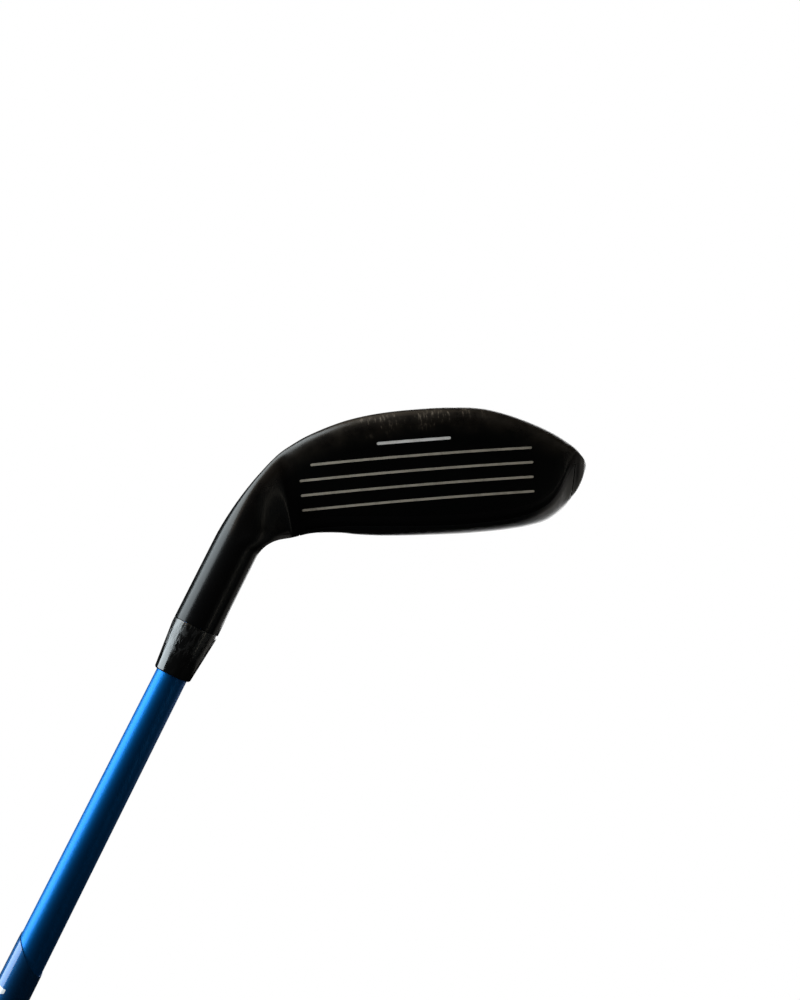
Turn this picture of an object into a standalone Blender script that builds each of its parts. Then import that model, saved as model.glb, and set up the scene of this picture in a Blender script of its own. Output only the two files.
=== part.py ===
"""Hybrid golf club, right-handed, standing as in a bag: butt down, head up and sole on top.

The origin is the centre of the butt end and +Z runs up the shaft to the head. The face looks to -Y
and the toe points to +X. The club is turned and bonded parts on one axis, and a hollow head made of
a cast body, a crown shell and a face plate.

The head is drawn in head coordinates: x from the shaft axis to the toe, y to the back and h up from
the ground, with the club at address. Their origin is where the shaft axis meets the ground.
"""
import math

import bmesh
import bpy
from mathutils import Matrix, Vector
from mathutils.bvhtree import BVHTree

MM = 0.001

# Club
CLUB_LENGTH = 1003 * MM  # ground to butt end, along the shaft axis
LIE = math.radians(59.5)  # shaft to ground
LOFT = math.radians(21)  # face to vertical
SEAT = 0.1 * MM  # gap between pieces that sit on or in each other
SEAM = 0.3 * MM  # gap between the welded head pieces
ROUND_SIDES = 32

# Face
FACE_LEAD = 9.8 * MM  # where the face plane meets the ground, ahead of the shaft axis
FACE_CENTRE = 33.8 * MM
FACE_BULGE = 280 * MM  # heel-to-toe radius
FACE_ROLL = 0.5 * MM  # how far the middle stands out of the top-to-bottom line
FACE_THICK = 2.3 * MM
PLATE_HEEL = -4 * MM
PLATE_TOE = 79 * MM
PLATE_INSET = 3.5 * MM  # from the face's edges

# Scorelines: heights above the ground at the face, and each line's ends along x
SCORE_LOWEST = 11.8 * MM  # the aim line
SCORE_PITCH = 4.55 * MM  # along the face
SCORE_WIDTH = 1.0 * MM
SCORE_DEPTH = 0.6 * MM
SCORE_FILL = 0.3 * MM
SCORE_SIDE = 0.12 * MM  # bare groove on each side of the paint, and above it
SCORE_STEP = 6 * MM
AIM_LINE = (21.4 * MM, 43.8 * MM)
SCORELINES = (
    (1.0 * MM, 68.9 * MM),
    (-2.6 * MM, 69.2 * MM),
    (-2.6 * MM, 69.1 * MM),
    (-2.6 * MM, 69.2 * MM),
)

# Head
HEAD_DEPTH = 50.5 * MM  # shaft axis to the back edge, at the deepest
TOE_REACH = 88.4 * MM  # shaft axis to the toe's tip
WALL = 1.5 * MM
SOLE_WALL = 5 * MM
CROWN_WALL = 0.9 * MM
CROWN_TOE = 83 * MM
TIP_THIN_RINGS = 4  # the walls thin out over this many rings at the toe's tip

# Hosel, shaft and ferrule
HOSEL_RADIUS = 6.9 * MM
HOSEL_TOP = 70.6 * MM  # from the ground along the axis
HOSEL_FOOT = 45 * MM  # where the straight hosel turns into the neck
INSERTION = 28 * MM
TIP_RADIUS = 4.7 * MM
TIP_STRAIGHT = 50 * MM
BUTT_RADIUS = 7.62 * MM
TIP_WALL = 1.9 * MM
BUTT_WALL = 1.1 * MM
EPOXY = 0.15 * MM
PLUG_THICK = 2 * MM
FERRULE_LENGTH = 15.3 * MM
FERRULE_END_RADIUS = 5.6 * MM
FERRULE_STRAIGHT = 1.5 * MM
FERRULE_ROUND = 0.7 * MM
TIP_WEIGHT_LENGTH = 18 * MM
TIP_FLANGE = 1.2 * MM  # thickness of the tip weight's head
TIP_FLANGE_SETBACK = 0.4 * MM  # from the shaft's outside

# Decal near the head
LABEL_START = 84 * MM  # above the ferrule
LABEL_LENGTH = 190 * MM
LABEL_THICK = 0.12 * MM
LABEL_SLANT = 4 * MM

# Grip
GRIP_LENGTH = 268 * MM
GRIP_BUTT_RADIUS = 13.4 * MM
GRIP_MOUTH_RADIUS = 8.7 * MM
GRIP_FLARE = 1.9 * MM  # how far the butt end stands out of the taper
GRIP_FLARE_LENGTH = 16 * MM
GRIP_LIP = 1.2 * MM  # rounding of the grip's two ends
GRIP_STEPS = 14
TAPE_THICK = 0.2 * MM
TAPE_LENGTH = 262 * MM
CAP_THICK = 4.5 * MM
CAP_ROUND = 2.4 * MM
VENT_RADIUS = 1.2 * MM

# Weight screw in the sole, with a hexagon socket in its head
WEIGHT_AT = (40 * MM, 30 * MM)  # x and y
WEIGHT_HEAD_RADIUS = 6 * MM
WEIGHT_HEAD_DEPTH = 2.4 * MM
WEIGHT_SHANK_RADIUS = 3 * MM
WEIGHT_SHANK = 5 * MM
WEIGHT_CLEARANCE = 0.25 * MM
WEIGHT_SINK = 0.5 * MM
SOCKET_RADIUS = 2.3 * MM
SOCKET_DEPTH = 1.6 * MM
BOSS_WALL = 1.8 * MM
BOSS_FLOOR = 1 * MM

# Dab of hot melt on the inside of the sole: rows along the head and columns across the sole
DAB_ROWS = (3, 6)
DAB_COLUMNS = (3, 6)
DAB_HEIGHT = 3 * MM
DAB_RIM = 0.5 * MM

# Heights along the shaft axis
HOSEL_END_Z = CLUB_LENGTH - HOSEL_TOP
SHAFT_TIP_Z = HOSEL_END_Z + INSERTION
SHAFT_BUTT_Z = CAP_THICK + SEAT

# Cross-sections of the head, heel to toe, in millimetres and shares. Each row is x, the heights of
# the leading edge and of the top line, how far the front is drawn in as a share of the depth there,
# the back edge's y as a share of HEAD_DEPTH, the heights of the crown's and the sole's back edges,
# and how far crown and sole bow out.
SECTIONS = (
    (-6.0, 10.2, 36.3, 0.0, 0.24, 26.0, 13.5, 3.0, 1.6),
    (0.0, 7.7, 34.9, 0.0, 0.38, 23.0, 10.8, 4.5, 2.0),
    (8.0, 5.3, 34.9, 0.0, 0.57, 20.0, 8.8, 6.0, 2.6),
    (14.0, 4.0, 35.3, 0.0, 0.71, 18.0, 8.0, 7.5, 3.0),
    (22.0, 3.0, 36.0, 0.0, 0.85, 16.0, 7.2, 8.6, 3.2),
    (32.0, 2.6, 36.8, 0.0, 0.96, 14.8, 6.6, 9.0, 3.2),
    (44.0, 2.7, 37.4, 0.0, 1.0, 14.5, 6.6, 9.2, 3.2),
    (54.0, 3.6, 37.3, 0.0, 0.98, 14.8, 7.4, 9.4, 3.4),
    (62.0, 5.8, 36.7, 0.0, 0.92, 15.6, 9.0, 9.6, 3.6),
    (69.0, 8.5, 35.1, 0.0, 0.83, 16.6, 11.0, 10.2, 3.4),
    (74.5, 11.0, 32.0, 0.0, 0.73, 17.4, 12.8, 11.3, 3.0),
    (78.0, 12.8, 28.0, 0.0, 0.65, 18.0, 14.2, 12.3, 2.6),
    (81.3, 14.8, 22.4, 0.01, 0.57, 18.6, 15.7, 12.9, 2.2),
    (83.6, 16.3, 19.6, 0.045, 0.5, 19.0, 16.8, 11.7, 1.8),
    (85.6, 17.6, 19.8, 0.16, 0.42, 19.4, 17.9, 8.7, 1.4),
    (87.2, 18.8, 20.3, 0.38, 0.34, 19.8, 18.9, 4.9, 0.8),
    (88.2, 19.8, 20.6, 0.72, 0.27, 20.2, 19.9, 1.4, 0.3),
)
# Where the mesh has a ring, besides the seams
BODY_STATIONS = (
    -6, 0.5, 6, 12, 18, 25, 33, 41, 49, 56, 62, 67, 71, 74.3, 76.8, 81, 84.6, 85.9, 87, 87.9,
)
STATION_GAP = 1.2 * MM  # a ring closer than this to a seam is left out
BACK_BOW = 1 * MM
FULL_BOW = 4 * MM  # where the crown bows less than this, front and back are flatter too
EDGE_ROUND = {"lead": 4.8 * MM, "top": 2.4 * MM, "brow": 6.0 * MM, "tail": 5.0 * MM}
# Largest share of a short side that one rounded corner may take
EDGE_SHARE = 0.5
# Millimetres that each corner's path holds its direction for, at the hosel and at the heel
NECK_PULL = {"lead": (17, 24), "top": (4, 5), "brow": (22, 22), "tail": (26, 30)}
NECK_DELAY = 1.75  # how late the front and back leave the hosel's width
# Millimetres over which the crown's and the sole's bows reach the slope that they have at the heel
CROWN_ARRIVAL = 8
SOLE_ARRIVAL = 27
CORNERS = ("lead", "top", "brow", "tail")
NECK_RINGS = 8
BORE_RINGS = 6  # rings from the hosel's top that stand around the bore
ARC_KAPPA = 0.5523  # of a Bezier curve close to a quarter circle
CORNER_POINTS = 12  # on each half of a rounded corner, and on each side between corners
TINY = 1e-9

# Steps around a section: across the plate, the crown, the back and the sole
PLATE_STEPS = 3
CROWN_STEPS = 8
BACK_STEPS = 4
SOLE_STEPS = 8
INSET_SHARE = 0.3  # of the face's height, the most that the plate's inset takes

MATERIALS = {
    "black_satin": ((0.012, 0.012, 0.013), 0.42, 0.6),
    "face_black": ((0.006, 0.006, 0.006), 0.55, 0.5),
    "crown_black": ((0.02, 0.021, 0.021), 0.45, 0.2),
    "line_grey": ((0.42, 0.40, 0.37), 0.5, 0.2),
    "line_white": ((0.85, 0.85, 0.85), 0.4, 0.0),
    "tungsten": ((0.22, 0.21, 0.2), 0.35, 1.0),
    "brass": ((0.6, 0.45, 0.2), 0.35, 1.0),
    "hot_melt": ((0.75, 0.68, 0.5), 0.5, 0.0),
    "plug_plastic": ((0.8, 0.8, 0.78), 0.5, 0.0),
    "epoxy": ((0.5, 0.45, 0.3), 0.3, 0.0),
    "ferrule_gloss": ((0.008, 0.008, 0.008), 0.12, 0.0),
    "shaft_blue": ((0.01, 0.14, 0.42), 0.35, 0.7),
    "label_navy": ((0.01, 0.03, 0.09), 0.1, 0.0),
    "tape": ((0.75, 0.72, 0.62), 0.7, 0.0),
    "grip_rubber": ((0.02, 0.02, 0.02), 0.75, 0.0),
}


def clear_scene():
    for obj in list(bpy.data.objects):
        bpy.data.objects.remove(obj, do_unlink=True)


def material(name):
    found = bpy.data.materials.get(name)
    if found:
        return found
    colour, roughness, metallic = MATERIALS[name]
    made = bpy.data.materials.new(name)
    made.use_nodes = True
    shader = made.node_tree.nodes["Principled BSDF"]
    shader.inputs["Base Color"].default_value = (*colour, 1)
    shader.inputs["Roughness"].default_value = roughness
    shader.inputs["Metallic"].default_value = metallic
    return made


def add_object(name, bm, finish, parent=None, smooth_angle=35):
    mesh = bpy.data.meshes.new(name)
    bm.to_mesh(mesh)
    bm.free()
    mesh.materials.append(material(finish))
    mesh.shade_smooth()
    mesh.set_sharp_from_angle(angle=math.radians(smooth_angle))
    obj = bpy.data.objects.new(name, mesh)
    bpy.context.scene.collection.objects.link(obj)
    obj.parent = parent
    return obj


# ---------------------------------------------------------------- head surface


def head_point(x, y, h):
    """A head-coordinate point in the head's own space, where up is towards the sole."""
    return Vector((x, y, -h))


def face_y(x, h):
    """Where the face surface stands at x and h."""
    bulge = (x - FACE_CENTRE) ** 2 / (2 * FACE_BULGE)
    return -FACE_LEAD + h * math.tan(LOFT) + bulge / math.cos(LOFT)


def smooth_row(x):
    """The section at x, on a cubic between the two rows beside it."""
    rows = SECTIONS
    i = max(k for k in range(len(rows) - 1) if rows[k][0] * MM <= x + TINY)
    a, b = rows[i], rows[i + 1]
    before = rows[i - 1] if i else a
    after = rows[i + 2] if i + 2 < len(rows) else b
    t = (x / MM - a[0]) / (b[0] - a[0])
    made = []
    for k in range(1, len(a)):
        width = b[0] - a[0]
        slope_a = (b[k] - before[k]) / (b[0] - before[0]) * width
        slope_b = (after[k] - a[k]) / (after[0] - a[0]) * width
        made.append(hermite(a[k], slope_a, b[k], slope_b, t))
    return made


def hermite(p0, m0, p1, m1, t):
    return (
        (2 * t**3 - 3 * t**2 + 1) * p0
        + (t**3 - 2 * t**2 + t) * m0
        + (-2 * t**3 + 3 * t**2) * p1
        + (t**3 - t**2) * m1
    )


def body_section(x):
    """Corners, corner roundings and bows of the head's section at x."""
    low, top, drawn_in, back, brow, tail, crown_bow, sole_bow = smooth_row(x)
    back_y = back * HEAD_DEPTH

    def front(height):
        flat = face_y(x, height * MM)
        return Vector((x, flat + (back_y - flat) * drawn_in, height * MM))

    corners = {
        "lead": front(low),
        "top": front(top),
        "brow": Vector((x, back_y, brow * MM)),
        "tail": Vector((x, back_y, tail * MM)),
    }
    return corners, dict(EDGE_ROUND), crown_bow * MM, sole_bow * MM


def axis_point(d):
    """The point on the shaft axis at distance d from the ground."""
    return Vector((-math.cos(LIE), 0, math.sin(LIE))) * d


def hosel_section(d):
    """A square whose corners are rounded into the hosel's circle."""
    across = Vector((math.sin(LIE), 0, math.cos(LIE))) * HOSEL_RADIUS
    depth = Vector((0, HOSEL_RADIUS, 0))
    centre = axis_point(d)
    corners = {
        "lead": centre - across - depth,
        "top": centre + across - depth,
        "brow": centre + across + depth,
        "tail": centre - across + depth,
    }
    return corners, {name: HOSEL_RADIUS for name in CORNERS}, 0.0, 0.0


def neck_section(t):
    """Between the straight hosel (t = 0) and the heel of the body (t = 1)."""
    hosel, hosel_rounds, _, _ = hosel_section(HOSEL_FOOT)
    heel_x = SECTIONS[0][0] * MM
    heel, heel_rounds, crown_bow, sole_bow = body_section(heel_x)
    after, _, crown_after, sole_after = body_section(heel_x + 1 * MM)
    down = -axis_point(1)
    corners, rounds = {}, {}
    ease = t * t * (3 - 2 * t)
    arrive = t**3 - t**2  # no height at either end, and a slope of 1 at the heel
    for name in CORNERS:
        at_hosel, at_heel = NECK_PULL[name]
        run = (after[name] - heel[name]).normalized()
        at = hermite(hosel[name], down * at_hosel * MM, heel[name], run * at_heel * MM, t)
        late = (heel[name].y - hosel[name].y) * ease**NECK_DELAY
        at.y = hosel[name].y + late + run.y * at_heel * MM * arrive
        corners[name] = at
        rounds[name] = hosel_rounds[name] + (heel_rounds[name] - hosel_rounds[name]) * ease
    crown = crown_bow * ease + (crown_after - crown_bow) * CROWN_ARRIVAL * arrive
    sole = sole_bow * ease + (sole_after - sole_bow) * SOLE_ARRIVAL * arrive
    return corners, rounds, crown, sole


def outline(section):
    """The rounded section as four sides, each a dense list of points from one corner's middle to the
    next, in the order face, crown, back, sole."""
    corners, rounds, crown_bow, sole_bow = section
    points = [corners[name] for name in CORNERS]
    up = (points[1] - points[0]).normalized()
    full = min(1, crown_bow / FULL_BOW)
    forward, backward = Vector((0, -FACE_ROLL, 0)), Vector((0, BACK_BOW, 0))
    bows = (forward * full, up * crown_bow, backward * full, -up * sole_bow)

    def side(k, t):
        a, b = points[k], points[(k + 1) % 4]
        return a.lerp(b, t) + bows[k] * 4 * t * (1 - t)

    lengths = [(points[(k + 1) % 4] - points[k]).length for k in range(4)]
    cut = {}
    for k, name in enumerate(CORNERS):
        for s in (k, (k - 1) % 4):
            cut[(k, s)] = min(rounds[name] / lengths[s], EDGE_SHARE)

    def corner(k, t):
        s_in, s_out = (k - 1) % 4, k
        a, b = side(s_in, 1 - cut[(k, s_in)]), side(s_out, cut[(k, s_out)])
        step = 0.001
        run_in = (side(s_in, 1 - cut[(k, s_in)] + step) - a).normalized()
        run_out = (b - side(s_out, cut[(k, s_out)] - step)).normalized()
        pull_in = ARC_KAPPA * cut[(k, s_in)] * lengths[s_in]
        pull_out = ARC_KAPPA * cut[(k, s_out)] * lengths[s_out]
        p1, p2 = a + run_in * pull_in, b - run_out * pull_out
        u = 1 - t
        return a * u**3 + p1 * 3 * u * u * t + p2 * 3 * u * t * t + b * t**3

    dense = CORNER_POINTS
    sides = []
    for k in range(4):
        nxt = (k + 1) % 4
        start, end = cut[(k, k)], 1 - cut[(nxt, k)]
        line = [corner(k, 0.5 + 0.5 * i / dense) for i in range(dense)]
        line += [side(k, start + (end - start) * i / dense) for i in range(dense)]
        line += [corner(nxt, 0.5 * i / dense) for i in range(dense + 1)]
        sides.append(line)
    return sides


def walk(line, distances):
    """The points at these distances along a polyline."""
    made, travelled, k = [], 0.0, 0
    for want in distances:
        while k < len(line) - 2 and travelled + (line[k + 1] - line[k]).length < want:
            travelled += (line[k + 1] - line[k]).length
            k += 1
        step = (line[k + 1] - line[k]).length
        made.append(line[k].lerp(line[k + 1], (want - travelled) / step if step else 0))
    return made


def length_of(line):
    return sum((b - a).length for a, b in zip(line, line[1:]))


def ease_ends(count):
    """Shares from 0 to 1, closer together at both ends."""
    return [0.5 - 0.5 * math.cos(math.pi * i / count) for i in range(count + 1)]


def ring(section):
    """The section's points. The face has a narrow strip where the plate's edges run, and the crown
    ends in a narrow strip at its front and back seams."""
    face, crown, back, sole = outline(section)
    half = SEAM / 2
    total = length_of(face)
    inset = min(PLATE_INSET, INSET_SHARE * total)
    plate = total - 2 * inset - SEAM
    inner = [inset + half + plate * i / PLATE_STEPS for i in range(PLATE_STEPS + 1)]
    beyond = [total - inset + half, total - inset / 2, total - half]
    made = walk(face, [0, inset / 2, inset - half, *inner, *beyond])
    total = length_of(crown)
    made += walk(crown, [half + (total - SEAM) * s for s in ease_ends(CROWN_STEPS)])
    total = length_of(back)
    made += walk(back, [half + (total - half) * i / BACK_STEPS for i in range(BACK_STEPS)])
    total = length_of(sole)
    made += walk(sole, [total * s for s in ease_ends(SOLE_STEPS)[:-1]])
    return made


FACE_NORMAL = Vector((0, -math.cos(LOFT), -math.sin(LOFT)))
# Columns of a ring where the pieces begin and end
PLATE_COLUMNS = (3, 3 + PLATE_STEPS)
FACE_LAST = PLATE_COLUMNS[1] + 3
CROWN_COLUMNS = (FACE_LAST, FACE_LAST + CROWN_STEPS)
SOLE_FIRST = FACE_LAST + CROWN_STEPS + 1 + BACK_STEPS


def head_rings():
    """Every ring from the hosel's top to the toe, and the rows where the pieces meet."""
    rows = [hosel_section(HOSEL_TOP), hosel_section((HOSEL_TOP + HOSEL_FOOT) / 2)]
    rows += [neck_section(i / NECK_RINGS) for i in range(NECK_RINGS)]
    seams = {"heel": PLATE_HEEL, "toe": PLATE_TOE, "crown_toe": CROWN_TOE}
    body = [x * MM for x in BODY_STATIONS]
    body = [x for x in body if all(abs(x - seam) > STATION_GAP for seam in seams.values())]
    for seam in seams.values():
        body += [seam - SEAM / 2, seam + SEAM / 2]
    body.sort()
    marks = {name: len(rows) + body.index(seam - SEAM / 2) for name, seam in seams.items()}
    rows += [body_section(x) for x in body]
    return [ring(row) for row in rows], marks


# The bore's flats stand this far in from its corners, so the bore is made that much larger
BORE_FLAT = math.cos(math.radians(90 / BACK_STEPS / 2))
BORE_RADIUS = (TIP_RADIUS + EPOXY + 2 * SEAT) / BORE_FLAT
BORE_END = HOSEL_TOP - INSERTION - TIP_FLANGE - PLUG_THICK - 2 * SEAT


class HeadSurface:
    """The head's outer surface and the inner one that its walls leave."""

    def __init__(self):
        self.rings, self.marks = head_rings()
        self.columns = len(self.rings[0])
        bm = bmesh.new()
        self.grid = [[bm.verts.new(head_point(*p)) for p in points] for points in self.rings]
        count = self.columns
        middle_of_last = sum(self.rings[-1], Vector()) / count
        tip = bm.verts.new(head_point(TOE_REACH, middle_of_last.y, middle_of_last.z))
        for row, nxt in zip(self.grid, self.grid[1:]):
            for k in range(count):
                bm.faces.new((row[k], row[(k + 1) % count], nxt[(k + 1) % count], nxt[k]))
        last = self.grid[-1]
        for k in range(count):
            bm.faces.new((last[k], last[(k + 1) % count], tip))
        bmesh.ops.recalc_face_normals(bm, faces=bm.faces)
        bm.normal_update()
        on_face = self.grid[self.marks["toe"]][PLATE_COLUMNS[0]]
        sign = 1 if on_face.normal.dot(FACE_NORMAL) > 0 else -1
        self.outer = [[v.co.copy() for v in row] for row in self.grid]
        self.normals = [[v.normal * sign for v in row] for row in self.grid]
        self.tip, self.tip_normal = tip.co.copy(), tip.normal * sign
        bm.free()

    def inner(self, i, k, wall):
        """The inner point behind outer point k of ring i."""
        k %= self.columns
        if i < BORE_RINGS:
            return bore_inner(self.outer[i][k])
        thick = wall
        if k >= SOLE_FIRST:
            share = math.sin(math.pi * (k - SOLE_FIRST) / SOLE_STEPS)
            thick += (SOLE_WALL - WALL) * share
        thick *= min(1, (len(self.outer) - i) / TIP_THIN_RINGS)
        direction = self.normals[i][k]
        beside_plate = PLATE_COLUMNS[0] - 1 <= k <= PLATE_COLUMNS[1] + 1
        if beside_plate and self.marks["heel"] <= i <= self.marks["toe"] + 1:
            direction = FACE_NORMAL
        return self.outer[i][k] - direction * thick


def bore_inner(point):
    """The point on the hosel's bore beside an outer point, no deeper than the bore's end."""
    at = Vector((point.x, point.y, -point.z))
    d = at.dot(axis_point(1))
    radial = (at - axis_point(d)).normalized() * BORE_RADIUS
    return head_point(*(axis_point(max(d, BORE_END)) + radial))


def shell(surface, quads, wall, with_tip=False):
    """A closed wall from a patch of the head's surface: outer faces, inner faces and its rim."""
    bm = bmesh.new()
    outer, inner = {}, {}
    count = surface.columns

    def corner(i, k):
        key = (i, k % count)
        if key not in outer:
            outer[key] = bm.verts.new(surface.outer[i][key[1]])
            inner[key] = bm.verts.new(surface.inner(i, key[1], wall))
        return key

    edges = {}
    faces = [[corner(i, k), corner(i, k + 1), corner(i + 1, k + 1), corner(i + 1, k)] for i, k in quads]
    if with_tip:
        last = len(surface.outer) - 1
        outer["tip"] = bm.verts.new(surface.tip)
        inner["tip"] = bm.verts.new(surface.tip - surface.tip_normal * wall)
        faces += [[corner(last, k), corner(last, k + 1), "tip"] for k in range(count)]
    for keys in faces:
        bm.faces.new([outer[key] for key in keys])
        bm.faces.new([inner[key] for key in reversed(keys)])
        for a, b in zip(keys, keys[1:] + keys[:1]):
            edges[(a, b)] = True
    for a, b in edges:
        if (b, a) not in edges:
            bm.faces.new((outer[b], outer[a], inner[a], inner[b]))
    bmesh.ops.recalc_face_normals(bm, faces=bm.faces)
    return bm


def head_pieces(surface, frame):
    """The cast body, the face plate and the crown shell."""
    rows, columns = len(surface.outer) - 1, surface.columns
    heel, toe, crown_toe = (surface.marks[name] for name in ("heel", "toe", "crown_toe"))
    body, plate, crown = [], [], []
    for i in range(rows):
        for k in range(columns):
            in_plate = heel < i < toe and PLATE_COLUMNS[0] <= k < PLATE_COLUMNS[1]
            near_plate = heel <= i <= toe and PLATE_COLUMNS[0] - 1 <= k <= PLATE_COLUMNS[1]
            in_crown = heel < i < crown_toe and CROWN_COLUMNS[0] <= k < CROWN_COLUMNS[1]
            near_crown = heel <= i <= crown_toe and CROWN_COLUMNS[0] - 1 <= k <= CROWN_COLUMNS[1]
            if in_plate:
                plate.append((i, k))
            elif in_crown:
                crown.append((i, k))
            elif not near_plate and not near_crown:
                body.append((i, k))
    made_body = add_object("head_body", shell(surface, body, WALL, with_tip=True), "black_satin", frame)
    made_plate = add_object("face_plate", shell(surface, plate, FACE_THICK), "face_black", frame)
    add_object("crown_shell", shell(surface, crown, CROWN_WALL), "crown_black", frame)
    return made_body, made_plate


def dab(surface):
    """A low mound that follows the inside of the sole."""
    bm = bmesh.new()
    rows = range(surface.marks["heel"] + DAB_ROWS[0], surface.marks["heel"] + DAB_ROWS[1] + 1)
    columns = range(SOLE_FIRST + DAB_COLUMNS[0], SOLE_FIRST + DAB_COLUMNS[1] + 1)
    under, over = {}, {}
    for i in rows:
        for k in columns:
            floor = surface.inner(i, k, WALL)
            up = (floor - surface.outer[i][k]).normalized()
            rim = i in (rows[0], rows[-1]) or k in (columns[0], columns[-1])
            under[(i, k)] = bm.verts.new(floor + up * SEAT)
            over[(i, k)] = bm.verts.new(floor + up * (SEAT + (DAB_RIM if rim else DAB_HEIGHT)))
    edges = set()
    for i in rows[:-1]:
        for k in columns[:-1]:
            keys = [(i, k), (i, k + 1), (i + 1, k + 1), (i + 1, k)]
            bm.faces.new([under[key] for key in keys])
            bm.faces.new([over[key] for key in reversed(keys)])
            edges |= set(zip(keys, keys[1:] + keys[:1]))
    for a, b in edges:
        if (b, a) not in edges:
            bm.faces.new((under[b], under[a], over[a], over[b]))
    bmesh.ops.recalc_face_normals(bm, faces=bm.faces)
    return bm


# ---------------------------------------------------------------- scorelines


def face_bar(tree, ends, height, half_width, top, bottom):
    """A bar along the face at one height, between two depths under the face's surface."""
    normal = FACE_NORMAL
    across = Vector((0, math.sin(LOFT), -math.cos(LOFT)))
    count = max(2, round((ends[1] - ends[0]) / SCORE_STEP))
    bm = bmesh.new()
    stations = []
    for i in range(count + 1):
        x = ends[0] + (ends[1] - ends[0]) * i / count
        at, _, _, _ = tree.ray_cast(head_point(x, -HEAD_DEPTH, height), Vector((0, 1, 0)))
        offsets = ((-1, top), (1, top), (1, bottom), (-1, bottom))
        stations.append([bm.verts.new(at + across * half_width * s - normal * d) for s, d in offsets])
    for row, nxt in zip(stations, stations[1:]):
        for k in range(4):
            bm.faces.new((row[k], row[(k + 1) % 4], nxt[(k + 1) % 4], nxt[k]))
    bm.faces.new(stations[0])
    bm.faces.new(reversed(stations[-1]))
    bmesh.ops.recalc_face_normals(bm, faces=bm.faces)
    return bm


def cut(target, cutter_bm, name, operation="DIFFERENCE"):
    cutter = add_object(name, cutter_bm, "black_satin", target.parent)
    cutter.hide_render = True
    cutter.display_type = "WIRE"
    modifier = target.modifiers.new(name, "BOOLEAN")
    modifier.operation = operation
    modifier.object = cutter


def scorelines(plate, frame):
    """Grooves in the face plate and the paint that fills them."""
    bm = bmesh.new()
    bm.from_mesh(plate.data)
    tree = BVHTree.FromBMesh(bm)
    bm.free()
    lines = [("aim_line_paint", AIM_LINE, "line_white")]
    lines += [(f"scoreline_paint_{i + 1}", ends, "line_grey") for i, ends in enumerate(SCORELINES)]
    for i, (name, ends, finish) in enumerate(lines):
        height = SCORE_LOWEST + i * SCORE_PITCH * math.cos(LOFT)
        groove = face_bar(tree, ends, height, SCORE_WIDTH / 2, -SCORE_DEPTH, SCORE_DEPTH)
        cut(plate, groove, f"{name}_groove")
        inner_ends = (ends[0] + SCORE_SIDE, ends[1] - SCORE_SIDE)
        half = SCORE_WIDTH / 2 - SCORE_SIDE
        paint = face_bar(tree, inner_ends, height, half, SCORE_SIDE, SCORE_SIDE + SCORE_FILL)
        add_object(name, paint, finish, frame)


# ---------------------------------------------------------------- turned pieces


def turned(profile, sides=ROUND_SIDES):
    """A closed profile of (radius, z) points, spun about Z."""
    bm = bmesh.new()
    verts = [bm.verts.new((r, 0, z)) for r, z in profile]
    edges = [bm.edges.new((a, b)) for a, b in zip(verts, verts[1:] + verts[:1])]
    bmesh.ops.spin(
        bm,
        geom=verts + edges,
        cent=(0, 0, 0),
        axis=(0, 0, 1),
        angle=2 * math.pi,
        steps=sides,
    )
    bmesh.ops.remove_doubles(bm, verts=bm.verts, dist=1e-6)
    bmesh.ops.dissolve_degenerate(bm, edges=bm.edges, dist=1e-7)
    bmesh.ops.recalc_face_normals(bm, faces=bm.faces)
    return bm


def rounded_corner(r, z, radius, start, steps=4):
    """A quarter circle about (r, z), turning anticlockwise from the start angle in degrees."""
    angles = [math.radians(start + 90 * i / steps) for i in range(steps + 1)]
    return [(r + radius * math.cos(a), z + radius * math.sin(a)) for a in angles]


def shaft_radius(z):
    share = (z - SHAFT_BUTT_Z) / (SHAFT_TIP_Z - TIP_STRAIGHT - SHAFT_BUTT_Z)
    return BUTT_RADIUS + (TIP_RADIUS - BUTT_RADIUS) * min(1, max(0, share))


def shaft_bore(z):
    share = (z - SHAFT_BUTT_Z) / (SHAFT_TIP_Z - SHAFT_BUTT_Z)
    return shaft_radius(z) - BUTT_WALL - (TIP_WALL - BUTT_WALL) * share


def sleeve(name, low, high, clearance, thick, finish, slant=0.0):
    """A thin tube on the tapered shaft. Its head end can be cut at a slant."""
    profile = []
    for z, side in ((low, 1), (high, 1), (high, 0), (low, 0)):
        profile.append((shaft_radius(z) + clearance + thick * side, z))
    bm = turned(profile)
    for vert in bm.verts:
        if slant and vert.co.z > (low + high) / 2:
            vert.co.z -= slant * vert.co.x / Vector(vert.co.xy).length
    return add_object(name, bm, finish)


def shaft():
    stations = [SHAFT_BUTT_Z, SHAFT_TIP_Z - TIP_STRAIGHT, SHAFT_TIP_Z]
    profile = [(shaft_radius(z), z) for z in reversed(stations)]
    profile += [(shaft_bore(z), z) for z in stations]
    add_object("shaft", turned(profile), "shaft_blue")


def tip_weight():
    pin = TIP_RADIUS - TIP_WALL - SEAT
    low = SHAFT_TIP_Z - TIP_WEIGHT_LENGTH
    seat = SHAFT_TIP_Z + SEAT
    high = seat + TIP_FLANGE
    flange = TIP_RADIUS - TIP_FLANGE_SETBACK
    profile = [(0, high), (flange, high), (flange, seat), (pin, seat), (pin, low), (0, low)]
    add_object("tip_weight", turned(profile), "brass")


def bore_plug():
    low = SHAFT_TIP_Z + TIP_FLANGE + 2 * SEAT
    radius = BORE_RADIUS * BORE_FLAT - SEAT
    profile = [(0, low + PLUG_THICK), (radius, low + PLUG_THICK), (radius, low), (0, low)]
    add_object("bore_plug", turned(profile), "plug_plastic")


def epoxy_sleeve():
    inner, outer = TIP_RADIUS + SEAT, TIP_RADIUS + SEAT + EPOXY
    low, high = HOSEL_END_Z, SHAFT_TIP_Z
    profile = [(outer, high), (outer, low), (inner, low), (inner, high)]
    add_object("epoxy_sleeve", turned(profile), "epoxy")


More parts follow.
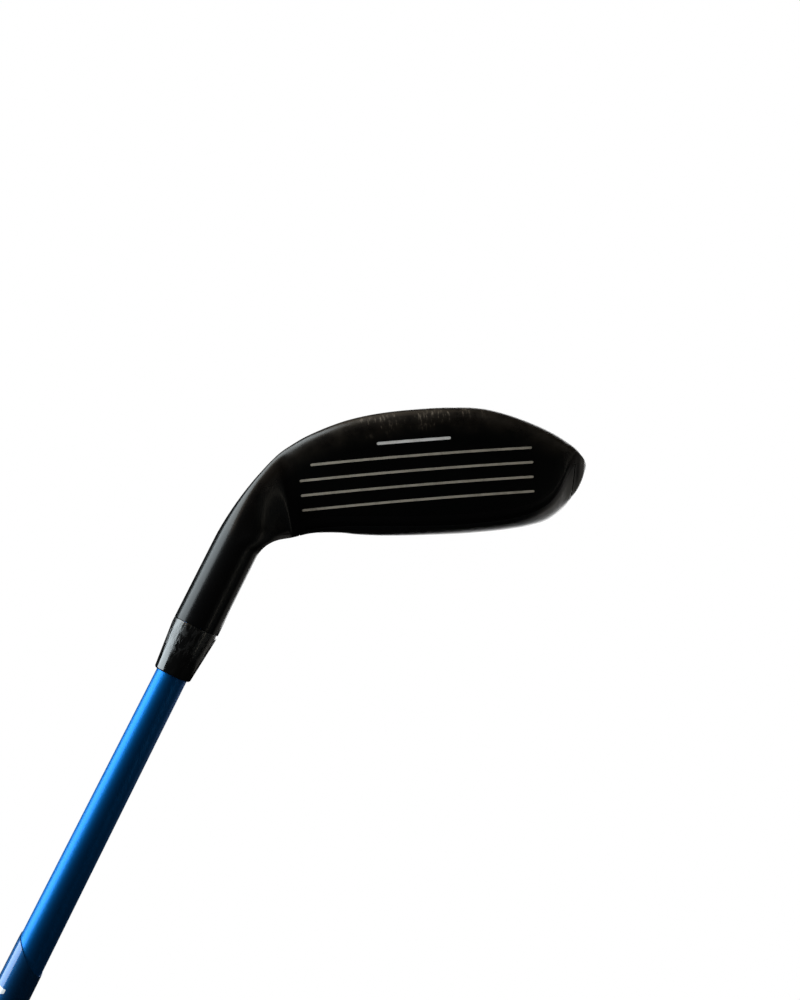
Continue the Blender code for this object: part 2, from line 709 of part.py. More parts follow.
def ferrule():
    high = HOSEL_END_Z - SEAT
    low = high - FERRULE_LENGTH
    inner = TIP_RADIUS + SEAT
    lip = rounded_corner(FERRULE_END_RADIUS - FERRULE_ROUND, low + FERRULE_ROUND, FERRULE_ROUND, -90)
    profile = [(HOSEL_RADIUS, high), (HOSEL_RADIUS, high - FERRULE_STRAIGHT)]
    profile += [*reversed(lip), (inner, low), (inner, high)]
    add_object("ferrule", turned(profile), "ferrule_gloss")


def grip_radius(z):
    """The tapered grip with its flared butt end."""
    share = (z - CAP_THICK) / (GRIP_LENGTH - CAP_THICK)
    flare = max(0, 1 - (z - CAP_THICK) / GRIP_FLARE_LENGTH)
    return GRIP_BUTT_RADIUS + (GRIP_MOUTH_RADIUS - GRIP_BUTT_RADIUS) * share + GRIP_FLARE * flare**2


def grip():
    low, high = CAP_THICK + SEAT, GRIP_LENGTH
    clearance = 2 * SEAT + TAPE_THICK
    flare_end = low + GRIP_FLARE_LENGTH
    stations = [low + GRIP_FLARE_LENGTH * i / GRIP_STEPS for i in range(GRIP_STEPS)]
    stations += [flare_end + (high - GRIP_LIP - flare_end) * i / GRIP_STEPS for i in range(GRIP_STEPS)]
    outer = [(grip_radius(z), z) for z in stations]
    outer += rounded_corner(grip_radius(high) - GRIP_LIP, high - GRIP_LIP, GRIP_LIP, 0)
    profile = [*outer, (shaft_radius(high) + clearance, high), (shaft_radius(low) + clearance, low)]
    add_object("grip", turned(profile), "grip_rubber")


def grip_cap():
    radius = grip_radius(CAP_THICK)
    rim = rounded_corner(radius - CAP_ROUND, CAP_ROUND, CAP_ROUND, -90)
    profile = [(VENT_RADIUS, 0), *rim, (radius, CAP_THICK), (VENT_RADIUS, CAP_THICK)]
    add_object("grip_cap", turned(profile), "grip_rubber")


# ---------------------------------------------------------------- sole weight


def weight_seat(surface):
    """Where the weight screw's head sits on the sole, and the way into the head."""
    target = Vector(WEIGHT_AT)
    spots = [
        (i, k)
        for i in range(surface.marks["heel"], surface.marks["toe"])
        for k in range(SOLE_FIRST + 1, surface.columns)
    ]
    i, k = min(spots, key=lambda spot: (surface.outer[spot[0]][spot[1]].xy - target).length)
    return surface.outer[i][k], -surface.normals[i][k]


def along(bm, at, inward):
    """Turns a piece drawn down Z onto the screw's axis, with z = 0 at the sole's surface."""
    turn = Vector((0, 0, -1)).rotation_difference(inward).to_matrix().to_4x4()
    bm.transform(Matrix.Translation(at) @ turn)
    return bm


def sole_weight(surface, body, frame):
    """The screw, the boss that it is threaded into, and its counterbored hole."""
    at, inward = weight_seat(surface)
    gap = WEIGHT_CLEARANCE
    head, shank = WEIGHT_HEAD_RADIUS, WEIGHT_SHANK_RADIUS
    under_head = WEIGHT_SINK + WEIGHT_HEAD_DEPTH
    tip = under_head + WEIGHT_SHANK
    deep = tip + gap + BOSS_FLOOR
    boss_radius = head + gap + BOSS_WALL
    boss = [(0, -WALL), (boss_radius, -WALL), (boss_radius, -deep), (0, -deep)]
    cut(body, along(turned(boss), at, inward), "weight_boss", "UNION")
    hole = [
        (0, WEIGHT_HEAD_DEPTH), (head + gap, WEIGHT_HEAD_DEPTH), (head + gap, -under_head - gap),
        (shank + gap, -under_head - gap), (shank + gap, -tip - gap), (0, -tip - gap),
    ]
    cut(body, along(turned(hole), at, inward), "weight_hole")
    screw = [(0, -WEIGHT_SINK), (head, -WEIGHT_SINK), (head, -under_head), (shank, -under_head),
             (shank, -tip), (0, -tip)]
    made = add_object("weight_screw", along(turned(screw), at, inward), "tungsten", frame)
    socket = [(0, 0), (SOCKET_RADIUS, 0), (SOCKET_RADIUS, -WEIGHT_SINK - SOCKET_DEPTH),
              (0, -WEIGHT_SINK - SOCKET_DEPTH)]
    cut(made, along(turned(socket, 6), at, inward), "weight_socket")


clear_scene()
head_frame = bpy.data.objects.new("head_frame", None)
bpy.context.scene.collection.objects.link(head_frame)
head_frame.location = (0, 0, CLUB_LENGTH)
head_frame.rotation_euler = (0, LIE - math.pi / 2, 0)
head_surface = HeadSurface()
cast_body, face = head_pieces(head_surface, head_frame)
scorelines(face, head_frame)
sole_weight(head_surface, cast_body, head_frame)
add_object("hot_melt_dab", dab(head_surface), "hot_melt", head_frame)
ferrule()
epoxy_sleeve()
bore_plug()
tip_weight()
shaft()
label_top = HOSEL_END_Z - SEAT - FERRULE_LENGTH - LABEL_START
sleeve("shaft_label", label_top - LABEL_LENGTH, label_top, SEAT, LABEL_THICK, "label_navy", LABEL_SLANT)
sleeve("grip_tape", SHAFT_BUTT_Z, TAPE_LENGTH, SEAT, TAPE_THICK, "tape")
grip()
grip_cap()
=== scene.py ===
from math import cos, hypot, pi, radians, sin, tan

import bmesh
import bpy
from mathutils import Euler, Matrix, Vector
from mathutils.bvhtree import BVHTree
from mathutils.interpolate import poly_3d_calc


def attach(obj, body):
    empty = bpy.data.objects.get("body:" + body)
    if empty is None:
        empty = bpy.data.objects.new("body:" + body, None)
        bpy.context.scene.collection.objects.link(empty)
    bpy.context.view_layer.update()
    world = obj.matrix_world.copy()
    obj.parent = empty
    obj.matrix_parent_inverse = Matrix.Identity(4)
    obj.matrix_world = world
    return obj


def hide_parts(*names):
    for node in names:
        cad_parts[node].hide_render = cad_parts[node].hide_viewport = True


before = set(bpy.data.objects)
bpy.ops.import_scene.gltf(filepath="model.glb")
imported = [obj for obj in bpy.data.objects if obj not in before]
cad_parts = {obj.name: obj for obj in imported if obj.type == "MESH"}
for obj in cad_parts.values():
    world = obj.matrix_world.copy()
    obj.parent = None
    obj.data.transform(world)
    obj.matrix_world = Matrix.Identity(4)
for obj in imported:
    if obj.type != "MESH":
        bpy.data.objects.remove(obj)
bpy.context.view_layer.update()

mm = 0.001
root = "root"  # nothing on a club moves, so all of it is one body
print("frame loaded")

# The club's own sizes. Heights along the shaft count up from the butt end.
club = {
    "length": 1003 * mm,  # ground to butt, along the shaft
    "lie": radians(59.5),
    "loft": radians(21),
    "hosel": 6.9 * mm,
    "hoselTop": 70.6 * mm,  # ground to the hosel's top, along the shaft
    "hoselFoot": 45 * mm,
    "tip": 4.7 * mm,
    "butt": 7.62 * mm,
    "fit": 0.1 * mm,
}
hoselEnd = club["length"] - club["hoselTop"]


class Value:  # a socket of a node; sums on it add Math nodes
    def __init__(self, kit, socket):
        self.kit = kit
        self.socket = socket


for sign, operation in (("add", "ADD"), ("sub", "SUBTRACT"), ("mul", "MULTIPLY"), ("truediv", "DIVIDE")):
    setattr(Value, f"__{sign}__", lambda one, other, kind=operation: one.kit.maths(kind, one, other))
    setattr(Value, f"__r{sign}__", lambda one, other, kind=operation: one.kit.maths(kind, other, one))


class NodeKit:
    def __init__(self, tree):
        self.tree = tree

    def add(self, kind, sockets=None, settings=None, out=0):
        node = self.tree.nodes.new(kind)
        for key, value in (settings or {}).items():
            if key == "items":
                while len(node.index_switch_items) < value:
                    node.index_switch_items.new()
            else:
                setattr(node, key, value)
        for key, value in (sockets or {}).items():
            if isinstance(value, Value):
                self.tree.links.new(value.socket, node.inputs[key])
            else:
                node.inputs[key].default_value = value
        return Value(self, node.outputs[out])

    def maths(self, operation, *terms):
        return self.add("ShaderNodeMath", dict(enumerate(terms)), {"operation": operation})

    def parts(self, vector):
        first = self.add("ShaderNodeSeparateXYZ", {0: vector})
        return [Value(self, out) for out in first.socket.node.outputs]

    def join(self, x, y, z):
        return self.add("ShaderNodeCombineXYZ", {0: x, 1: y, 2: z})

    def rise(self, value, low, high, start=0.0, end=1.0):  # a smooth step
        sockets = {0: value, 1: low, 2: high, 3: start, 4: end}
        return self.add("ShaderNodeMapRange", sockets, {"interpolation_type": "SMOOTHSTEP"})

    def band(self, value, start, full, fade, end):  # 1 between full and fade, 0 outside
        return self.rise(value, start, full) * self.rise(value, end, fade)


class Finish(NodeKit):  # one material
    def __init__(self, name, **constants):
        self.material = bpy.data.materials.new(name)
        self.material.use_nodes = True
        super().__init__(self.material.node_tree)
        self.shader = self.tree.nodes["Principled BSDF"]
        for key, value in constants.items():
            self.shader.inputs[socketNames[key]].default_value = value
        self.place = self.add("ShaderNodeTexCoord", None, None, "Object")

    def feed(self, **values):
        for key, value in values.items():
            self.tree.links.new(value.socket, self.shader.inputs[socketNames[key]])
        return self.material

    def noise(self, scale, detail=3.0, rough=0.5, warp=0.0, place=None):
        sockets = {"Scale": scale, "Detail": detail, "Roughness": rough, "Distortion": warp}
        return self.add("ShaderNodeTexNoise", {"Vector": place or self.place, **sockets})

    def stretch(self, scale, turn=(0, 0, 0), place=None):
        sockets = {"Vector": place or self.place, "Scale": scale, "Rotation": turn}
        return self.add("ShaderNodeMapping", sockets)

    def blend(self, share, first, second):
        return self.add("ShaderNodeMix", {0: share, 6: first, 7: second}, {"data_type": "RGBA"}, 2)

    def bump(self, height, distance, strength=1.0, under=None):
        sockets = {"Height": height, "Distance": distance, "Strength": strength}
        if under:
            sockets["Normal"] = under
        return self.add("ShaderNodeBump", sockets)


socketNames = {
    "colour": "Base Color",
    "roughness": "Roughness",
    "metallic": "Metallic",
    "normal": "Normal",
    "specular": "Specular IOR Level",
    "coat": "Coat Weight",
    "coatRoughness": "Coat Roughness",
    "sheen": "Sheen Weight",
    "sheenRoughness": "Sheen Roughness",
    "scatter": "Subsurface Weight",
}


def rgb(red, green, blue):
    return (red, green, blue, 1)


def newObject(name, data):
    made = bpy.data.objects.new(name, data)
    bpy.context.scene.collection.objects.link(made)
    return made


def meshObject(name, bm):
    mesh = bpy.data.meshes.new(name)
    bm.to_mesh(mesh)
    bm.free()
    return newObject(name, mesh)


def bridge(bm, rows):  # faces between rings of vertices
    count = len(rows[0])
    for row, after in zip(rows, rows[1:]):
        for k in range(count):
            bm.faces.new((row[k], row[(k + 1) % count], after[(k + 1) % count], after[k]))


def outward(bm):
    bmesh.ops.recalc_face_normals(bm, faces=bm.faces)


def applied(piece, modifier):  # the piece's mesh with the modifier worked in
    bpy.context.view_layer.update()
    graph = bpy.context.evaluated_depsgraph_get()
    mesh = bpy.data.meshes.new_from_object(piece.evaluated_get(graph))
    piece.modifiers.remove(modifier)
    piece.data = mesh
    return mesh


def smooth(mesh, sharp):  # sharp is the least angle of an edge, in degrees
    mesh.shade_smooth()
    mesh.set_sharp_from_angle(angle=radians(sharp))


view = {
    "place": (0.0411915, -0.2980878, 0.9423088),
    "turn": (100.50242, -25.13503, -3.87175),  # degrees
    "lens": 36,
    "sensor": 36,
    "near": 0.01,
}


def placeCamera():
    data = bpy.data.cameras.new("camera")
    data.lens, data.sensor_width, data.clip_start = view["lens"], view["sensor"], view["near"]
    camera = newObject("camera", data)
    turn = Euler([radians(angle) for angle in view["turn"]]).to_matrix().to_4x4()
    camera.matrix_world = Matrix.Translation(view["place"]) @ turn
    bpy.context.scene.camera = camera
    return camera


camera = placeCamera()
bpy.context.view_layer.update()

room = {
    "floorRadius": 1.1,
    "floorLight": 170,
    "floorLightHeight": 2.6,
    "floorLightWidth": 2.4,
    "ambient": 0.004,
    "aim": (0.0, 0.0, 0.985),
    # name: direction (right, up, towards the viewer), distance, width, height, power, colour
    "lights": {
        "key": ((-0.89, 0.43, 0.10), 0.9, 0.85, 1.5, 24, (0.84, 0.95, 1.0)),
        "fill": ((0.80, -0.15, -0.58), 1.2, 0.7, 1.5, 0.75, (1.0, 0.96, 0.88)),
        "overhead": ((-0.35, 0.92, 0.10), 1.1, 1.3, 1.3, 4.4, (1.0, 0.82, 0.62)),
        "side": ((0.94, -0.10, 0.30), 1.2, 1.0, 1.5, 0.28, (0.9, 1.0, 1.0)),
        "strip": ((0.93, -0.05, 0.37), 1.2, 0.04, 1.5, 0.30, (1.0, 0.92, 0.75)),
        "front": ((0.25, 0.55, 0.80), 1.3, 1.2, 1.2, 7.5, (1.0, 1.0, 0.98)),
        "behind": ((0.35, 0.15, -0.95), 1.3, 1.0, 1.4, 14, (1.0, 1.0, 1.0)),
    },
}


def areaLight(name, power, colour, width, height, place):
    data = bpy.data.lights.new(name, "AREA")
    data.shape = "RECTANGLE"
    data.size, data.size_y = width, height
    data.energy = power
    data.color = colour
    lamp = newObject(name, data)
    lamp.matrix_world = place
    lamp.visible_camera = False
    return lamp


def buildFloor():
    bm = bmesh.new()
    bmesh.ops.create_circle(bm, cap_ends=True, radius=room["floorRadius"], segments=128)
    floor = meshObject("floor", bm)
    paint = Finish("floorPaint", roughness=0.8, specular=0.2)
    tone = paint.noise(3.0)
    colour = paint.blend(tone, rgb(0.84, 0.84, 0.84), rgb(0.88, 0.88, 0.88))
    floor.data.materials.append(paint.feed(colour=colour))
    floor.visible_glossy = floor.visible_diffuse = False  # it lights nothing on the club
    lit = bpy.data.collections.new("floorOnly")
    lit.objects.link(floor)
    over = Matrix.Translation((0, 0, room["floorLightHeight"]))
    width = room["floorLightWidth"]
    lamp = areaLight("floorLight", room["floorLight"], (1, 1, 1), width, width, over)
    lamp.light_linking.receiver_collection = lit


def buildRoom():
    scene = bpy.context.scene
    scene.view_settings.view_transform = "Standard"
    world = bpy.data.worlds.new("room")
    world.use_nodes = True
    scene.world = world
    kit = NodeKit(world.node_tree)
    seen = kit.add("ShaderNodeLightPath", None, None, "Is Camera Ray")
    backdrop = world.node_tree.nodes["Background"]
    strength = kit.rise(seen, 0, 1, room["ambient"], 1.0)
    world.node_tree.links.new(strength.socket, backdrop.inputs["Strength"])
    backdrop.inputs["Color"].default_value = rgb(1, 1, 1)
    buildFloor()
    turn = camera.matrix_world.to_3x3()
    for name, (direction, distance, width, height, power, colour) in room["lights"].items():
        away = (turn @ Vector(direction)).normalized()
        spin = away.to_track_quat("Z", "Y").to_matrix().to_4x4()
        place = Matrix.Translation(Vector(room["aim"]) + away * distance) @ spin
        lamp = areaLight(name, power, colour, width, height, place)
        lamp.visible_glossy = name != "front"  # it lifts the paint without a reflection


buildRoom()
print("camera, room and lights done")


# The head, drawn from heel to toe in the place it takes at address, then turned onto the shaft.
head = {
    "faceLead": 9.8 * mm,
    "faceCentre": 33.8 * mm,
    "bulge": 280 * mm,
    "roll": 0.5 * mm,
    "plateThick": 2.3 * mm,
    "plateHeel": -4.0,
    "plateToe": 79.0,
    "plateInset": 3.5 * mm,
    "depth": 50.5 * mm,
    "toeReach": 88.4 * mm,
    "wall": 1.5 * mm,
    "soleWall": 5 * mm,
    "crownWall": 0.9 * mm,
    "crownToe": 83.0,
    "toeThinFrom": 84.6 * mm,
    "toeThinShare": 0.2,
    "backBow": 1 * mm,
    "fullBow": 4 * mm,
    "cornerShare": 0.5,
    "neckDelay": 1.75,
    "crownArrival": 8,
    "soleArrival": 27,
    "boreShare": 0.375,
    "boreEnd": 39.2 * mm,
    "boreGap": 0.35 * mm,
    "hoselRound": 0.12 * mm,
    "seamHalf": 0.13 * mm,
    "seamDeep": 0.35 * mm,
}
# a section's corners: low front, top front, high back, low back
edgeRounds = (4.8 * mm, 2.4 * mm, 6.0 * mm, 5.0 * mm)
neckPulls = ((17, 24), (4, 5), (22, 22), (26, 30))
arcPull = 0.5523  # the handles that make a quarter circle

# x, low edge, top line, front drawn in, back share, high back, low back, crown bow, sole bow
sections = (
    (-6.0, 10.2, 36.3, 0.0, 0.24, 26.0, 13.5, 3.0, 1.6),
    (0.0, 7.7, 34.9, 0.0, 0.38, 23.0, 10.8, 4.5, 2.0),
    (8.0, 5.3, 34.9, 0.0, 0.57, 20.0, 8.8, 6.0, 2.6),
    (14.0, 4.0, 35.3, 0.0, 0.71, 18.0, 8.0, 7.5, 3.0),
    (22.0, 3.0, 36.0, 0.0, 0.85, 16.0, 7.2, 8.6, 3.2),
    (32.0, 2.6, 36.8, 0.0, 0.96, 14.8, 6.6, 9.0, 3.2),
    (44.0, 2.7, 37.4, 0.0, 1.0, 14.5, 6.6, 9.2, 3.2),
    (54.0, 3.6, 37.3, 0.0, 0.98, 14.8, 7.4, 9.4, 3.4),
    (62.0, 5.8, 36.7, 0.0, 0.92, 15.6, 9.0, 9.6, 3.6),
    (69.0, 8.5, 35.1, 0.0, 0.83, 16.6, 11.0, 10.2, 3.4),
    (74.5, 11.0, 32.0, 0.0, 0.73, 17.4, 12.8, 11.3, 3.0),
    (78.0, 12.8, 28.0, 0.0, 0.65, 18.0, 14.2, 12.3, 2.6),
    (81.3, 14.8, 22.4, 0.01, 0.57, 18.6, 15.7, 12.9, 2.2),
    (83.6, 16.3, 19.6, 0.045, 0.5, 19.0, 16.8, 11.7, 1.8),
    (85.6, 17.6, 19.8, 0.16, 0.42, 19.4, 17.9, 8.7, 1.4),
    (87.2, 18.8, 20.3, 0.38, 0.34, 19.8, 18.9, 4.9, 0.8),
    (88.2, 19.8, 20.6, 0.72, 0.27, 20.2, 19.9, 1.4, 0.3),
)
headFrame = Matrix.Translation((0, 0, club["length"])) @ Matrix.Rotation(club["lie"] - pi / 2, 4, "Y")


def headPoint(point):  # heel-toe, back and up from the ground, to the club's own frame
    return headFrame @ Vector((point[0], point[1], -point[2]))


def faceY(x, height):
    bulge = (x - head["faceCentre"]) ** 2 / (2 * head["bulge"])
    return -head["faceLead"] + height * tan(club["loft"]) + bulge / cos(club["loft"])


def hermite(p0, m0, p1, m1, t):
    return (
        (2 * t**3 - 3 * t**2 + 1) * p0 + (t**3 - 2 * t**2 + t) * m0
        + (-2 * t**3 + 3 * t**2) * p1 + (t**3 - t**2) * m1
    )


def sectionAt(x):  # x in millimetres
    i = max(k for k in range(len(sections) - 1) if sections[k][0] <= x + 1e-6)
    a, b = sections[i], sections[i + 1]
    before = sections[i - 1] if i else a
    after = sections[i + 2] if i + 2 < len(sections) else b
    width = b[0] - a[0]
    row = []
    for k in range(1, len(a)):
        slopeA = (b[k] - before[k]) / (b[0] - before[0]) * width
        slopeB = (after[k] - a[k]) / (after[0] - a[0]) * width
        row.append(hermite(a[k], slopeA, b[k], slopeB, (x - a[0]) / width))
    return row


def bodySection(x):
    low, top, drawnIn, back, highBack, lowBack, crownBow, soleBow = sectionAt(x)
    backY = back * head["depth"]

    def front(height):
        flat = faceY(x * mm, height * mm)
        return Vector((x * mm, flat + (backY - flat) * drawnIn, height * mm))

    rear = [Vector((x * mm, backY, height * mm)) for height in (highBack, lowBack)]
    return [front(low), front(top), *rear], edgeRounds, crownBow * mm, soleBow * mm


def axisPoint(distance):
    return Vector((-cos(club["lie"]), 0, sin(club["lie"]))) * distance


def hoselSection(distance, radius):
    across = Vector((sin(club["lie"]), 0, cos(club["lie"]))) * radius
    depth = Vector((0, radius, 0))
    signs = ((-1, -1), (1, -1), (1, 1), (-1, 1))
    corners = [axisPoint(distance) + across * a + depth * b for a, b in signs]
    return corners, (radius,) * 4, 0.0, 0.0


def neckSection(t):
    hosel, hoselRounds, _, _ = hoselSection(club["hoselFoot"], club["hosel"])
    heelX = sections[0][0]
    heel, heelRounds, crownBow, soleBow = bodySection(heelX)
    after, _, crownAfter, soleAfter = bodySection(heelX + 1)
    down = -axisPoint(1)
    corners, rounds = [], []
    ease = t * t * (3 - 2 * t)
    arrive = t**3 - t**2  # no height at either end, and a slope of 1 at the heel
    for k, (atHosel, atHeel) in enumerate(neckPulls):
        run = (after[k] - heel[k]).normalized()
        at = hermite(hosel[k], down * atHosel * mm, heel[k], run * atHeel * mm, t)
        late = (heel[k].y - hosel[k].y) * ease ** head["neckDelay"]
        at.y = hosel[k].y + late + run.y * atHeel * mm * arrive
        corners.append(at)
        rounds.append(hoselRounds[k] + (heelRounds[k] - hoselRounds[k]) * ease)
    crown = crownBow * ease + (crownAfter - crownBow) * head["crownArrival"] * arrive
    sole = soleBow * ease + (soleAfter - soleBow) * head["soleArrival"] * arrive
    return corners, rounds, crown, sole


def outline(section, dense=44):  # face, crown, back and sole, each from one corner's middle to the next
    points, rounds, crownBow, soleBow = section
    up = (points[1] - points[0]).normalized()
    full = min(1, crownBow / head["fullBow"])
    bows = (
        Vector((0, -head["roll"], 0)) * full,
        up * crownBow,
        Vector((0, head["backBow"], 0)) * full,
        -up * soleBow,
    )

    def side(k, t):
        return points[k].lerp(points[(k + 1) % 4], t) + bows[k] * 4 * t * (1 - t)

    lengths = [(points[(k + 1) % 4] - points[k]).length for k in range(4)]
    cut = {}
    for k in range(4):
        for s in (k, (k - 1) % 4):
            cut[k, s] = min(rounds[k] / lengths[s], head["cornerShare"])

    def corner(k, t):
        into, out = (k - 1) % 4, k
        a, b = side(into, 1 - cut[k, into]), side(out, cut[k, out])
        step = 0.001
        runIn = (side(into, 1 - cut[k, into] + step) - a).normalized()
        runOut = (b - side(out, cut[k, out] - step)).normalized()
        p1 = a + runIn * arcPull * cut[k, into] * lengths[into]
        p2 = b - runOut * arcPull * cut[k, out] * lengths[out]
        u = 1 - t
        return a * u**3 + p1 * 3 * u * u * t + p2 * 3 * u * t * t + b * t**3

    lines = []
    for k in range(4):
        after = (k + 1) % 4
        start, end = cut[k, k], 1 - cut[after, k]
        line = [corner(k, 0.5 + 0.5 * i / dense) for i in range(dense)]
        line += [side(k, start + (end - start) * i / dense) for i in range(dense)]
        line += [corner(after, 0.5 * i / dense) for i in range(dense + 1)]
        lines.append(line)
    return lines


def walk(line, distances):
    made, travelled, k = [], 0.0, 0
    for want in distances:
        while k < len(line) - 2 and travelled + (line[k + 1] - line[k]).length < want:
            travelled += (line[k + 1] - line[k]).length
            k += 1
        step = (line[k + 1] - line[k]).length
        made.append(line[k].lerp(line[k + 1], (want - travelled) / step if step else 0))
    return made


def lengthOf(line):
    return sum((b - a).length for a, b in zip(line, line[1:]))


def eased(low, high, count):  # closer together at both ends
    return [low + (high - low) * (0.5 - 0.5 * cos(pi * i / count)) for i in range(count + 1)]


steps = {
    "rim": 9,
    "plate": 34,
    "crown": 44,
    "back": 10,
    "sole": 36,
    "hoselEdge": 4,
    "hosel": 8,
    "neck": 26,
    # first place along x, gap and count, in millimetres; closer together towards the toe
    "stations": ((-6, 1.25, 63), (72.5, 0.7, 15), (83.2, 0.42, 12), (88.2, 0, 1)),
    "seamClear": 0.4,
}
seamSteps = [0.05 * mm, 0.09 * mm, 0.13 * mm, 0.3 * mm]
seamBefore = [-s for s in reversed(seamSteps)]
seamOffsets = [*seamBefore, 0.0, *seamSteps]


class HeadSkin:  # the head's outer surface as one grid, and what each of its points knows
    def __init__(self):
        self.findRows()
        rings = [self.ring(row["section"]) for row in self.rows]
        self.columns = len(rings[0][0])
        self.runs = [ring[1] for ring in rings]
        bm = bmesh.new()
        grid = [[bm.verts.new(headPoint(p)) for p in ring[0]] for ring in rings]
        last = sum(rings[-1][0], Vector()) / self.columns
        tip = bm.verts.new(headPoint((head["toeReach"], last.y, last.z)))
        bridge(bm, grid)
        for k in range(self.columns):
            bm.faces.new((grid[-1][k], grid[-1][(k + 1) % self.columns], tip))
        outward(bm)
        bm.normal_update()
        forward = headFrame.to_3x3() @ Vector((0, -cos(club["loft"]), -sin(club["loft"])))
        self.faceNormal = forward
        onFace = grid[self.marks["plateToe"]][self.plateFirst]
        sign = 1 if onFace.normal.dot(forward) > 0 else -1
        self.normals = [[v.normal * sign for v in row] for row in grid]
        self.tipNormal = tip.normal * sign
        for i, row in enumerate(grid):
            for k, vert in enumerate(row):
                vert.co -= self.normals[i][k] * self.seamDepth(i, k)
        bm.normal_update()
        self.outer = [[v.co.copy() for v in row] for row in grid]
        self.tip = tip.co.copy()
        self.buildGuide(bm, sign)
        bm.free()

    def findRows(self):
        top, foot = club["hoselTop"], club["hoselFoot"]
        edge = head["hoselRound"]
        self.rows = []
        for i in range(steps["hoselEdge"] + 1):
            angle = pi / 2 * i / steps["hoselEdge"]
            radius = club["hosel"] - edge * (1 - sin(angle))
            distance = top - edge * (1 - cos(angle))
            self.rows.append({"section": hoselSection(distance, radius), "bore": True})
        for i in range(1, steps["hosel"]):
            distance = top - edge + (foot - top + edge) * i / steps["hosel"]
            self.rows.append({"section": hoselSection(distance, club["hosel"]), "bore": True})
        for i in range(steps["neck"]):
            t = i / steps["neck"]
            self.rows.append({"section": neckSection(t), "bore": t <= head["boreShare"]})
        seams = {"heel": head["plateHeel"], "plateToe": head["plateToe"], "crownToe": head["crownToe"]}
        stations = [first + gap * i for first, gap, count in steps["stations"] for i in range(count)]
        clear = steps["seamClear"]
        stations = [x for x in stations if all(abs(x - seam) > clear for seam in seams.values())]
        for seam in seams.values():
            stations += [seam + offset / mm for offset in seamOffsets]
        stations = sorted(x for x in stations if sections[0][0] <= x <= sections[-1][0])
        self.marks = {name: len(self.rows) + stations.index(seam) for name, seam in seams.items()}
        self.rows += [{"section": bodySection(x), "bore": False, "x": x} for x in stations]

    def ring(self, section):
        face, crown, back, sole = outline(section)
        total = lengthOf(face)
        inset = min(head["plateInset"], 0.3 * total)
        faceAt = [inset * i / steps["rim"] for i in range(steps["rim"])]
        self.plateFirst = len(faceAt)
        plate = total - 2 * inset
        faceAt += [inset + plate * i / steps["plate"] for i in range(steps["plate"])]
        self.plateLast = len(faceAt)
        edge = seamSteps[-1]
        rim = steps["rim"]
        faceAt += [total - inset + (inset - edge) * i / rim for i in range(rim)]
        faceAt += [total + s for s in seamBefore]
        self.crownFirst = len(faceAt)
        crownTotal = lengthOf(crown)
        crownAt = [0.0, *seamSteps, *eased(edge, crownTotal - edge, steps["crown"])[1:-1]]
        crownAt += [crownTotal + s for s in seamBefore]
        self.crownLast = self.crownFirst + len(crownAt)
        backTotal = lengthOf(back)
        backAt = [0.0, *seamSteps]
        backAt += [edge + (backTotal - edge) * i / steps["back"] for i in range(1, steps["back"])]
        self.soleFirst = self.crownLast + len(backAt)
        soleTotal = lengthOf(sole)
        soleAt = eased(0, soleTotal, steps["sole"])[:-1]
        points = walk(face, faceAt) + walk(crown, crownAt) + walk(back, backAt) + walk(sole, soleAt)
        # how far each point lies from the middle of the leading edge, measured round the section
        run = faceAt + [total + d for d in crownAt] + [total + crownTotal + backTotal] * len(backAt)
        run += [d - soleTotal for d in soleAt]
        return points, run

    def seamDepth(self, i, k):  # a fine groove where the crown meets the body
        x = self.rows[i].get("x")
        if x is None:
            return 0.0
        reach = len(seamSteps)
        if not self.crownFirst - reach <= k <= self.crownLast + reach:
            return 0.0
        out = -1.0  # far from the seam
        if abs(k - self.crownFirst) <= reach:
            out = -seamOffsets[k - self.crownFirst + reach]
        elif abs(k - self.crownLast) <= reach:
            out = seamOffsets[k - self.crownLast + reach]
        beyond = max(head["plateHeel"] - x, x - head["crownToe"]) * mm
        if out > 0 or beyond > 0:
            distance = hypot(max(out, 0), max(beyond, 0))
        else:
            distance = min(-out, -beyond)
        share = min(1, distance / head["seamHalf"])
        return head["seamDeep"] * (1 - share * share * (3 - 2 * share))

    def buildGuide(self, bm, sign):
        self.guidePoints = [v.co.copy() for v in bm.verts]
        self.guideNormals = [v.normal * sign for v in bm.verts]
        self.guideFaces = [[v.index for v in face.verts] for face in bm.faces]
        self.guideRuns = [run for runs in self.runs for run in runs] + [self.runs[-1][0]]
        self.tree = BVHTree.FromPolygons(self.guidePoints, self.guideFaces)

    def look(self, point):  # nearest point of the skin, its normal, its run and how far it is
        at, _, face, distance = self.tree.find_nearest(point)
        corners = self.guideFaces[face]
        weights = poly_3d_calc([self.guidePoints[c] for c in corners], at)
        normal, run = Vector(), 0.0
        for c, weight in zip(corners, weights):
            normal += self.guideNormals[c] * weight
            run += self.guideRuns[c] * weight
        return at, normal.normalized(), run, distance

